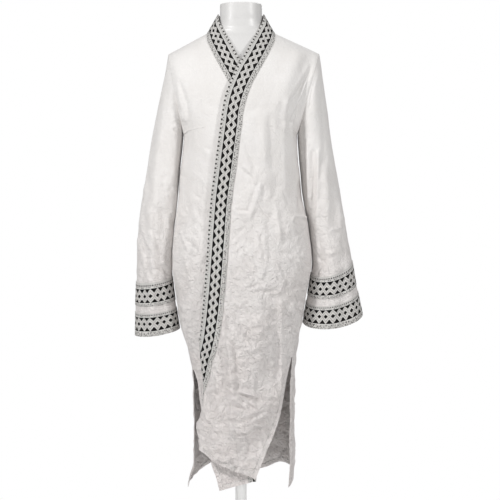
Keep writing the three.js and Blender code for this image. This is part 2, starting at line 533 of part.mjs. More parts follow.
function backSheet() {
  const holes = { left: ARMHOLES.left, right: ARMHOLES.right };
  const hem = along(BACK_HEM, "share", "z");
  const topOf = (j) => {
    if (j > SHOULDER_SPANS && j < SHOULDER_SPANS + NECK_SPANS) {
      const p = necklineAt((j - SHOULDER_SPANS) / NECK_SPANS);
      return vec(p.x, p.y, p.z - SEAM);
    }
    const onLeft = j <= SHOULDER_SPANS;
    const t = onLeft ? j / SHOULDER_SPANS : (BACK_SPANS - j) / SHOULDER_SPANS;
    const hole = onLeft ? holes.left : holes.right;
    const end = necklineAt(onLeft ? 0 : 1);
    return vec(mix(hole.tip[0], end.x, t), SEAM / 2, mix(hole.tip[1], end.z - SEAM, t));
  };
  const angleOf = (j, z) => {
    const from = (-swing.left(z) * Math.PI) / 180;
    const to = Math.PI + (swing.right(z) * Math.PI) / 180;
    return mix(from, to, j / BACK_SPANS);
  };
  const backPoint = (angle, z) => {
    if (angle >= 0 && angle <= Math.PI) return sectionPoint(angle, z, 1, 0);
    return sectionPoint(angle < 0 ? -angle : 2 * Math.PI - angle, z, -1, 0);
  };
  const upper = counted(AROUND_ARMHOLE).map((i) =>
    counted(BACK_SPANS + 1).map((j) => {
      const top = topOf(j);
      if (i === 0) return top;
      const down = (1 - Math.cos(turnAt(i))) / 2;
      const starts = [armholePoint(holes.left, i, 1), armholePoint(holes.right, i, 1)];
      if (j === 0) return starts[0];
      if (j === BACK_SPANS) return starts[1];
      const low = backPoint(angleOf(j, 1150), 1150);
      const [x, z] = [mix(top.x, low.x, down), mix(top.z, low.z, down)];
      const t = j / BACK_SPANS;
      const misses = starts.map((start) => start.y - sectionY(start.x, start.z, 1, 0));
      const near = [(1 - t) ** 8, t ** 8];
      const drawn = (top.y - sectionY(top.x, top.z, 1, 0)) * (1 - down) ** 24;
      const isNeck = j > SHOULDER_SPANS && j < SHOULDER_SPANS + NECK_SPANS;
      return vec(x, sectionY(x, z, 1, 0) + misses[0] * near[0] + misses[1] * near[1] + (isNeck ? drawn : 0), z);
    }),
  );
  const lower = counted(LOWER_ROWS + 1).map((i) =>
    parted(
      counted(BACK_SPANS + 1).map((j) => {
        const across = j / BACK_SPANS;
        const z = rowZ(LEFT_FRONT.top.side, mix(LEFT_FRONT.slit[0].z, RIGHT_FRONT.slit[0].z, across), hem(across), i);
        return backPoint(angleOf(j, z), z);
      }),
      true,
    ),
  );
  return { grid: [...upper, ...lower], closed: false, sign: 1 };
}

function neckbandSheet() {
  const grid = counted(TRIM_SPANS + 1).map((i) =>
    counted(NECK_SPANS + 1).map((j) => {
      const seam = necklineAt(j / NECK_SPANS);
      const angle = (Math.PI * j) / NECK_SPANS;
      const edge = vec(
        NECKLINE.edgeHalf * Math.cos(angle),
        NECKLINE.edgeReach * Math.sin(angle) + SEAM / 2,
        NECKLINE.edgeZ - NECKLINE.edgeSag * Math.sin(angle),
      );
      const t = 1 - i / TRIM_SPANS;
      return seam.clone().lerp(edge, t);
    }),
  );
  return { grid, closed: false, sign: 1 };
}

// --- the sleeves ------------------------------------------------------------------------------------------

// The sections of a sleeve round from the shoulder tip, down the front, and up behind.
function sleeveSheet(side) {
  const hole = ARMHOLES[side];
  const around = 2 * AROUND_ARMHOLE;
  const rings = SLEEVES[side].map((ring) =>
    counted(around).map((j) => {
      const turn = (2 * Math.PI * j) / around;
      const t = (1 - Math.cos(turn)) / 2;
      const forward = Math.sin(turn);
      const hang = ring.dip * Math.abs(forward) * (forward > 0 ? 1 : 0.5);
      return folded(
        vec(
          mix(ring.outerX, ring.innerX, t),
          ring.middle - (forward > 0 ? ring.front : ring.back) * forward,
          mix(ring.outerZ, ring.innerZ, t) - hang,
        ),
      );
    }),
  );
  const seam = counted(around).map((j) => {
    const i = j <= AROUND_ARMHOLE ? j : around - j;
    const point = folded(armholePoint(hole, i, j <= AROUND_ARMHOLE ? -1 : 1));
    if (j % AROUND_ARMHOLE === 0) point.y = 0;
    const lap = UNDERARM_LAP[Math.max(0, i - AROUND_ARMHOLE + 2)];
    point.addScaledVector(rings[0][j].clone().sub(point).normalize(), 3 * SEAM);
    return point.add(vec(hole.sign * lap, 0, 0));
  });
  return { grid: [seam, ...rings], closed: true, sign: -hole.sign };
}

// --- the form and its stand -------------------------------------------------------------------------------

const FORM_ROWS = [1480, 1466, 1452, 1440, 1430, 1421, 1413, 1405, 1396, 1387, 1378, 1369, 1361, 1354, 1347, 1338, 1325, 1300, 1270, 1235, 1195, 1150, 1100, 1045, 990, 942, 890, 842, 790, 742, 705, 680];
const FORM_AROUND = 28;
const FORM_DROP = 2.4; // how far the form's shoulders are below the middle of the cloth

function formSolid() {
  const form = columns(FORM, "z", ["half", "front", "back"]);
  const line = (x) => Math.min(shoulderLine(Math.abs(x)), shoulderLine(-Math.abs(x))) - FORM_DROP;
  const points = FORM_ROWS.flatMap((z) =>
    counted(FORM_AROUND).map((j) => {
      const angle = (2 * Math.PI * j) / FORM_AROUND;
      const [c, s] = [Math.cos(angle), Math.sin(angle)];
      const x = Math.sign(c) * form.half(z) * Math.abs(c) ** (2 / ROUNDNESS);
      const reach = (s < 0 ? form.front(z) : form.back(z)) * Math.abs(s) ** (2 / ROUNDNESS);
      const radius = (s < 0 ? SHOULDER.front : SHOULDER.back) - 3;
      const onShoulder = z < 1412 && z > 1150;
      const depth = Math.sqrt(2 * radius * Math.max(0.01, line(x) - z));
      const y = onShoulder && reach > 0.01 ? (reach ** -6 + depth ** -6) ** (-1 / 6) : reach;
      return vec(x, Math.sign(s) * y, z);
    }),
  );
  return lathed(points, FORM_ROWS.length, FORM_AROUND);
}
// A closed solid from rings of points, from the top down, each ring counter-clockwise seen from above.
function lathed(points, rows, around) {
  const top = points.length;
  const middle = (i) => {
    const ring = points.slice(i * around, (i + 1) * around);
    return ring.reduce((sum, p) => sum.add(p), vec(0, 0, 0)).divideScalar(around);
  };
  const index = [];
  counted(around).forEach((j) => {
    const k = (j + 1) % around;
    index.push(top, j, k, top + 1, (rows - 1) * around + k, (rows - 1) * around + j);
    counted(rows - 1).forEach((i) => {
      const [a, b] = [i * around, (i + 1) * around];
      index.push(a + j, b + j, b + k, a + j, b + k, a + k);
    });
  });
  return solid([...points, middle(0), middle(rows - 1)], index);
}
function roundSolid(profile, around) {
  const points = profile.flatMap(([radius, z]) =>
    counted(around).map((j) => vec(radius * Math.cos((2 * Math.PI * j) / around), radius * Math.sin((2 * Math.PI * j) / around), z)),
  );
  return lathed(points, profile.length, around);
}

// --- the part ---------------------------------------------------------------------------------------------

const front = { left: frontSheet("left"), right: frontSheet("right") };
const back = backSheet();
const neckband = neckbandSheet();
const sleeve = { left: sleeveSheet("left"), right: sleeveSheet("right") };
[front.left, front.right, back, neckband, sleeve.left, sleeve.right].forEach((sheet) => {
  sheet.normals = normalsOf(sheet.grid, sheet.closed, sheet.sign);
});

// Pieces that meet in a seam turn their faces together there, so that the parting is even through the wall.
const share = (...holders) => {
  const sum = holders.reduce((total, [sheet, i, j]) => total.add(sheet.normals[i][j]), vec(0, 0, 0)).normalize();
  holders.forEach(([sheet, i, j]) => sheet.normals[i][j].copy(sum));
};
const settle = (sheet, i, j) => sheet.normals[i][j].copy(level(sheet.normals[i][j]));
[
  ["left", 0],
  ["right", BACK_SPANS],
].forEach(([side, backCol]) => {
  const panel = front[side];
  const around = 2 * AROUND_ARMHOLE;
  panel.grid[0].forEach((_, j) => settle(panel, 0, j));
  counted(SHOULDER_SPANS + 1).forEach((j) => settle(back, 0, Math.abs(backCol - j)));
  counted(panel.grid.length).forEach((i) => {
    if (i > AROUND_ARMHOLE) share([panel, i, 0], [back, i, backCol]);
  });
  counted(AROUND_ARMHOLE - 2).forEach((k) => {
    share([panel, k + 1, 0], [sleeve[side], 0, k + 1]);
    share([back, k + 1, backCol], [sleeve[side], 0, around - k - 1]);
  });
  const tip = [
    [panel, 0, 0],
    [back, 0, backCol],
    [sleeve[side], 0, 0],
  ];
  share(...tip);
  tip.forEach((holder) => settle(...holder));
  share([panel, AROUND_ARMHOLE, 0], [back, AROUND_ARMHOLE, backCol]);
  settle(sleeve[side], 0, AROUND_ARMHOLE);
});
counted(NECK_SPANS + 1).forEach((j) => {
  const end = j === 0 || j === NECK_SPANS;
  share([back, 0, SHOULDER_SPANS + j], [neckband, TRIM_SPANS, j]);
  if (end) counted(TRIM_SPANS + 1).forEach((i) => settle(neckband, i, j));
  if (end) settle(back, 0, SHOULDER_SPANS + j);
});

const kaftan = new THREE.Group();
kaftan.name = "kaftan_on_form";
function add(name, geometry, look) {
  const mesh = new THREE.Mesh(geometry, new THREE.MeshStandardMaterial(look));
  mesh.name = name;
  kaftan.add(mesh);
}
add("front_left", clothOf(front.left), LINEN);
add("front_right", clothOf(front.right), LINEN);
add("back", clothOf(back), LINEN);
add("neckband", clothOf(neckband), LINEN);
add("sleeve_left", clothOf(sleeve.left), LINEN);
add("sleeve_right", clothOf(sleeve.right), LINEN);
["left", "right"].forEach((side) => {
  const sheet = front[side];
  add(`trim_front_${side}`, trimOn(sheet, 0, sheet.grid.length - 1, CLOTH_SPANS, CLOTH_SPANS + TRIM_SPANS), WOVEN);
  const last = sleeve[side].grid.length - 1;
  add(`trim_cuff_${side}_upper`, trimOn(sleeve[side], last - 3, last - 2), WOVEN);
  add(`trim_cuff_${side}_lower`, trimOn(sleeve[side], last - 1, last), WOVEN);
});
add("trim_neck", trimOn(neckband, 0, TRIM_SPANS, 0, NECK_SPANS), WOVEN);
add("form", formSolid(), SHELL);
const formBottom = FORM_ROWS[FORM_ROWS.length - 1];
const { poleDiameter, baseDiameter, baseHeight, baseRim } = STAND;
add(
  "pole",
  roundSolid(
    [
      [poleDiameter / 2, formBottom - SEAM],
      [poleDiameter / 2, baseHeight + SEAM],
    ],
    24,
  ),
  PAINTED,
);
add(
  "base",
  roundSolid(
    [
      [baseDiameter / 2 - baseRim, baseHeight],
      [baseDiameter / 2, baseHeight - baseRim],
      [baseDiameter / 2, 0],
    ],
    64,
  ),
  PAINTED,
);

export default kaftan;
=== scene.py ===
# %% [markdown]
# # A linen kaftan on a dress form
# The garment is a long robe that is open in front: two fronts that lap, a back cut in one piece, two wide
# sleeves, a narrow band behind the neck, and a patterned braid sewn along the neck, the front edges and the
# cuffs. It hangs on a glossy white form with a round stand. Everything here is in the frame of the packed
# solids: metres, +Z up, the front facing -Y, and left and right as the wearer has them.

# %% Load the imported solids
import math

import bmesh
import bpy
import numpy as np
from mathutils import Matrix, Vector


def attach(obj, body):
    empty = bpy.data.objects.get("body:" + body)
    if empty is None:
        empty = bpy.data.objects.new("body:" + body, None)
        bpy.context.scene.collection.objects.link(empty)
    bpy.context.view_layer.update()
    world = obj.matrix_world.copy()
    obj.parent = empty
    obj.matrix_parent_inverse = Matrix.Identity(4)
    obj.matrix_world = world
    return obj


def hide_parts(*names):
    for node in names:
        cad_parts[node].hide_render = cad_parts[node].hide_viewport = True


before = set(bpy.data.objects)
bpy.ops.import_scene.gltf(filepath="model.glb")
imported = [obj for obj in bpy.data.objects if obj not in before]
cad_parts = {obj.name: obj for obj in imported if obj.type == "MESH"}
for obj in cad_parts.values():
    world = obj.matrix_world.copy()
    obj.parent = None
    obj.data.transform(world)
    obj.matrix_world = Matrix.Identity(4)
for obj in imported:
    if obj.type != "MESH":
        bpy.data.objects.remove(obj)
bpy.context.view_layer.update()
MM = 0.001

# %% [markdown]
# ## Tables of sizes
# A garment on a form is easiest to describe by a few level sections: how far the cloth stands out to
# either side, in front and behind at each height. A smooth curve through each column gives every height
# between. The numbers are millimetres, and nearly all are the solids' own, so that each finished piece lies
# where its solid is. Three things differ: most of the sleeves' inner sides are nearer the body, by up to
# 10.5 mm, the left front starts to roll more gently, and the right front's lower end turns under.


# %% A table with named columns, and a curve through one of them
def table(names, *rows):
    data = np.array(sorted(rows), float).T
    return dict(zip(names.split(), data))


def curve_through(rows, column):
    key = rows[next(iter(rows))]
    value = rows[column]
    slope = np.diff(value) / np.diff(key)
    a, b = slope[:-1], slope[1:]
    turning = a * b <= 0
    middle = np.where(turning, 0, 2 * a * b / np.where(turning, 1, a + b))
    tangent = np.concatenate([slope[:1], middle, slope[-1:]])

    def at(x):
        x = np.clip(x, key[0], key[-1])
        i = np.clip(np.searchsorted(key, x, side="right") - 1, 0, len(key) - 2)
        span = key[i + 1] - key[i]
        t = (x - key[i]) / span
        rise = tangent[i] * span * (t**3 - 2 * t**2 + t) + tangent[i + 1] * span * (t**3 - t**2)
        return value[i] * (2 * t**3 - 3 * t**2 + 1) + value[i + 1] * (3 * t**2 - 2 * t**3) + rise

    return at


def curves_through(rows):
    return {name: curve_through(rows, name) for name in list(rows)[1:]}


def even_runs(*runs):
    """Even steps along runs of (start, end, count); only the last run has its own end."""
    *early, last = runs
    return np.concatenate([np.linspace(*run, endpoint=False) for run in early] + [np.linspace(*last)])


def mix(a, b, t):
    return a + (b - a) * t


def smooth(t):
    t = np.clip(t, 0, 1)
    return t * t * (3 - 2 * t)


# %% The cloth round the body
# low and high are the outline on the wearer's right and left; front and back are the reach from the
# shoulder seams, and ease is how much fuller the middle of a section is.
body = curves_through(table(
    "z low high front back ease",
    (1412, -77, 76, 52, 66, 0), (1400, -99, 102, 60, 72, 0), (1385, -126, 134, 68, 78, 0),
    (1370, -154, 167, 76, 83, 0), (1357, -178, 196, 82, 87, 0), (1345, -187, 203, 87, 90, 0),
    (1300, -191, 202, 102, 96, 0), (1254, -180, 186, 114, 97, 0), (1222, -169.5, 172.5, 119, 96, 0),
    (1193, -159, 159.5, 121, 95, 2), (1170, -150, 148.5, 122, 94, 7), (1155, -144, 141.5, 122, 92.5, 12),
    (1150, -142, 139, 122, 92, 14), (1100, -146, 141, 117, 89, 10), (1045, -153, 147, 111, 88, 4),
    (1000, -155, 151, 108, 93, 0), (942, -163, 165, 106, 102, 0), (842, -171, 176, 112, 116, 0),
    (742, -160, 160, 107, 112, 0), (667, -147, 148, 101, 104, 0), (605, -128, 136, 96, 98, 0),
    (540, -119, 134, 92, 94, 0), (420, -117, 134, 90, 92, 0), (340, -117, 134, 90, 91, 0),
    (300, -127, 132, 90, 94, 0), (270, -135, 128, 90, 98, 0),
))
ROUNDNESS = 2.2  # exponent of a section: 2 is an ellipse
OVER_SHOULDER = {-1: 60, 1: 75}  # radius of the cloth over the shoulder, in front and behind
NECK_X, NECK_Z = 82, 1409  # where a shoulder seam meets the neck
SEAM_GAP = 0.3
ARMHOLES = {
    "right": {"sign": -1, "tip": (-181, 1355), "underarm": (-142, 1150), "front": 56, "back": 60},
    "left": {"sign": 1, "tip": (195, 1357), "underarm": (139, 1150), "front": 56, "back": 60},
}

# %% The neck, the fronts and their slits
# drop is the height below the shoulder tip, seam the outer edge of the braid and edge its opening edge.
neck = curves_through(table(
    "drop seam_x seam_z edge_x edge_y edge_z",
    (0, 82, 1409, 56, 0, 1456), (6, 83, 1400, 55, -18, 1440), (22, 82, 1385, 43, -38, 1413),
    (46, 71, 1356, 27, -65, 1381), (76, 55, 1324, 10, -83, 1346), (106, 38, 1293, -8, -94, 1315),
    (136, 23, 1262, -23, -104, 1281), (164, 12, 1229, -37, -111, 1243), (188, 5, 1199, -44, -114, 1208),
    (207, 2, 1173, -48, -115, 1180),
))
NECK_DROP = 207.0
# The opening edge below the underarm: fold is its outline, turned is how much of the cloth has rolled
# behind it, round a curl of that radius.
PANELS = {
    "left": {
        "hem": (308, 380),
        "slit": table(
            "z x",
            (603, 125), (566, 116), (539, 110), (498, 103), (462, 96), (416, 81), (377, 64), (343, 50),
            (306, 35),
        ),
        "opening": table(
            "z fold turned curl",
            (1180, -48, 0, 1), (1060, -64, 0, 1), (986, -73, 0, 1), (875, -81, 0, 1), (777, -88, 0, 1),
            (720, -93, 0, 1), (662, -98, 1, 3), (636, -100, 3, 3.5), (608, -99, 12, 4), (568, -94, 26, 4),
            (551, -92, 34, 4.5), (531, -91, 42, 4.5), (500, -93, 54, 4.5), (464, -101, 62, 5),
            (430, -110, 70, 5), (405, -103, 66, 5), (380, -102, 64, 5),
        ),
    },
    "right": {
        "hem": (279, 303),
        "slit": table(
            "z x",
            (570, -116), (540, -106), (498, -101), (475, -97), (440, -86), (400, -78), (348, -73), (310, -60),
            (279, -52),
        ),
        "opening": table(
            "z fold turned curl",
            (1180, 48, 0, 1), (1060, 54, 0, 1), (800, 64, 0, 1), (600, 58, 0, 1), (420, 46, 0, 1),
            (380, 43, 6, 3), (340, 39, 24, 5), (303, 36, 31, 6),
        ),
    },
}
SLIT_TOP = {"left": 603, "right": 570}
UNDERARM_Z, OPENING_Z = 1150, 1180
# How far the side seams have swung forward, in degrees, and how far each front stands off the section.
swing = curves_through(table(
    "z left right",
    (860, 0, 0), (740, 6, 3), (603, 22, 11), (500, 27, 9), (283, 27, 8),
))
layers = curves_through(table(
    "z left right spread",
    (1400, 0, 0, 0), (1340, 8, 0, 0), (720, 9, 0, 0), (600, 19, -5, 5), (500, 20, -6, 9), (250, 22, -7, 9),
))
back_hem = curve_through(table(
    "share z",
    (0, 281), (0.06, 290), (0.14, 308), (0.23, 323), (0.32, 330), (0.46, 309), (0.58, 309), (0.7, 328),
    (0.77, 318), (0.88, 292), (1, 278),
), "z")
BRAID_WIDTH = 52

# %% The form under it: half its width at each height, and its reach in front and behind
form_curves = curves_through(table(
    "z half front back",
    (1480, 52.5, 48, 50), (1452, 52.5, 46, 48), (1436, 53, 44, 48), (1422, 57, 44, 51), (1413, 65, 46, 56),
    (1405, 79, 48, 60), (1395, 98, 55, 66), (1380, 126, 63, 73), (1366, 152, 70, 78), (1354, 171, 75, 81),
    (1340, 177, 80, 84), (1300, 172, 94, 89), (1254, 158, 105, 90), (1190, 141, 112, 88),
    (1150, 133, 112, 85), (1045, 118, 92, 76), (942, 144, 94, 92), (842, 163, 102, 108), (742, 156, 98, 104),
    (680, 142, 92, 96),
))
FORM_TOP_Z, FORM_NECK_Z, FORM_BOTTOM_Z = 1480, 1412, 680
NECK_FOOT_Z, SHOULDERS_Z = 1425, 1340  # between them its rings are closest
FORM_SHOULDER = {-1: 57, 1: 72}  # radius of its shoulders, in front and behind
FORM_DROP = 2.4  # how far its shoulders are below the middle of the cloth
OFF_FORM = 1.3  # the least distance from it to the middle of the cloth

# %% The sleeves
# Each row is a section from the armhole down: the outer and inner end of the section, its reach forward
# and back of its own middle, where that middle is, and how far its front hangs. The last four rows are
# the edges of the two braids.
SLEEVES = {
    "left": table(
        "ring outer_x outer_z inner_x inner_z front back middle dip",
        (1, 199, 1334, 143.5, 1122, 57, 60, 0, 0), (2, 204, 1295, 146, 1088, 57, 58, 1, 0),
        (3, 210, 1255, 149.5, 1055, 56, 56, 3, 2), (4, 217, 1207, 152.5, 1018, 54, 55, 5, 4),
        (5, 224, 1150, 159.5, 975, 52, 54, 8, 6), (6, 234, 1090, 168, 936, 50, 54, 10, 8),
        (7, 246, 1025, 173, 898, 49, 54, 12, 10), (8, 256, 970, 176.5, 868, 48, 54, 14, 14),
        (9, 266, 905, 178.5, 840, 48, 55, 15, 19), (10, 278, 842, 176.5, 812, 49, 56, 16, 22),
        (11, 288, 783, 168, 760, 51, 57, 17, 23), (12, 292, 765, 165, 742, 52, 57, 17, 23),
        (13, 304, 708, 156.5, 688, 54, 58, 18, 25),
    ),
    "right": table(
        "ring outer_x outer_z inner_x inner_z front back middle dip",
        (1, -185, 1330, -147, 1120, 57, 60, 0, 0), (2, -191, 1297, -151, 1086, 57, 58, 1, 0),
        (3, -199, 1262, -154.5, 1050, 56, 56, 3, 1), (4, -210, 1210, -157.5, 1012, 54, 55, 5, 2),
        (5, -224, 1140, -162, 970, 52, 54, 8, 3), (6, -236, 1062, -167, 930, 50, 54, 10, 4),
        (7, -249, 985, -170.5, 892, 49, 54, 12, 5), (8, -257, 922, -173, 858, 48, 54, 14, 6),
        (9, -261, 858, -173, 830, 48, 55, 15, 8), (10, -262, 790, -172.5, 802, 49, 56, 16, 9),
        (11, -264, 732, -166, 744, 51, 57, 17, 9), (12, -264, 714, -163.5, 726, 52, 57, 17, 9),
        (13, -265, 656, -155, 672, 54, 58, 18, 9),
    ),
}

# %% The largest folds in front
# Straight runs across the front view, each with the x and z of its two ends, its spread and its height. It
# lifts or sinks the cloth along the run and dies away to either side.
FOLDS = [
    (168, 1335, 130, 1205, 14, -7), (190, 1325, 152, 1175, 12, 5), (140, 1345, 100, 1230, 16, 5),
    (-160, 1305, -134, 1195, 14, 6), (-26, 640, -20, 370, 22, 7), (5, 950, 45, 1030, 18, 5),
    (100, 866, 168, 820, 20, -7), (118, 935, 165, 962, 18, 5), (95, 520, 20, 440, 20, 8),
    (70, 440, 0, 370, 16, -6), (60, 720, 25, 560, 22, 6), (100, 690, 70, 560, 18, -6),
    (250, 960, 258, 720, 13, -8), (222, 1120, 226, 700, 13, 7), (196, 900, 190, 700, 10, -4),
    (-214, 1160, -222, 680, 12, 7), (-244, 1000, -246, 680, 11, -7), (-192, 960, -190, 700, 10, -6),
]

# %% [markdown]
# ## Creases
# Linen keeps sharp creases where it has been pulled, sat on or folded, and no two are alike. So each has a
# row of its own: how wide its trough is, how deep, and a run of points on the flat front (or back) view. A
# negative depth makes a ridge. The drags fan out from the shoulders, the waist has short crossed ones, and
# the lower half, which has been folded most, has the deepest.

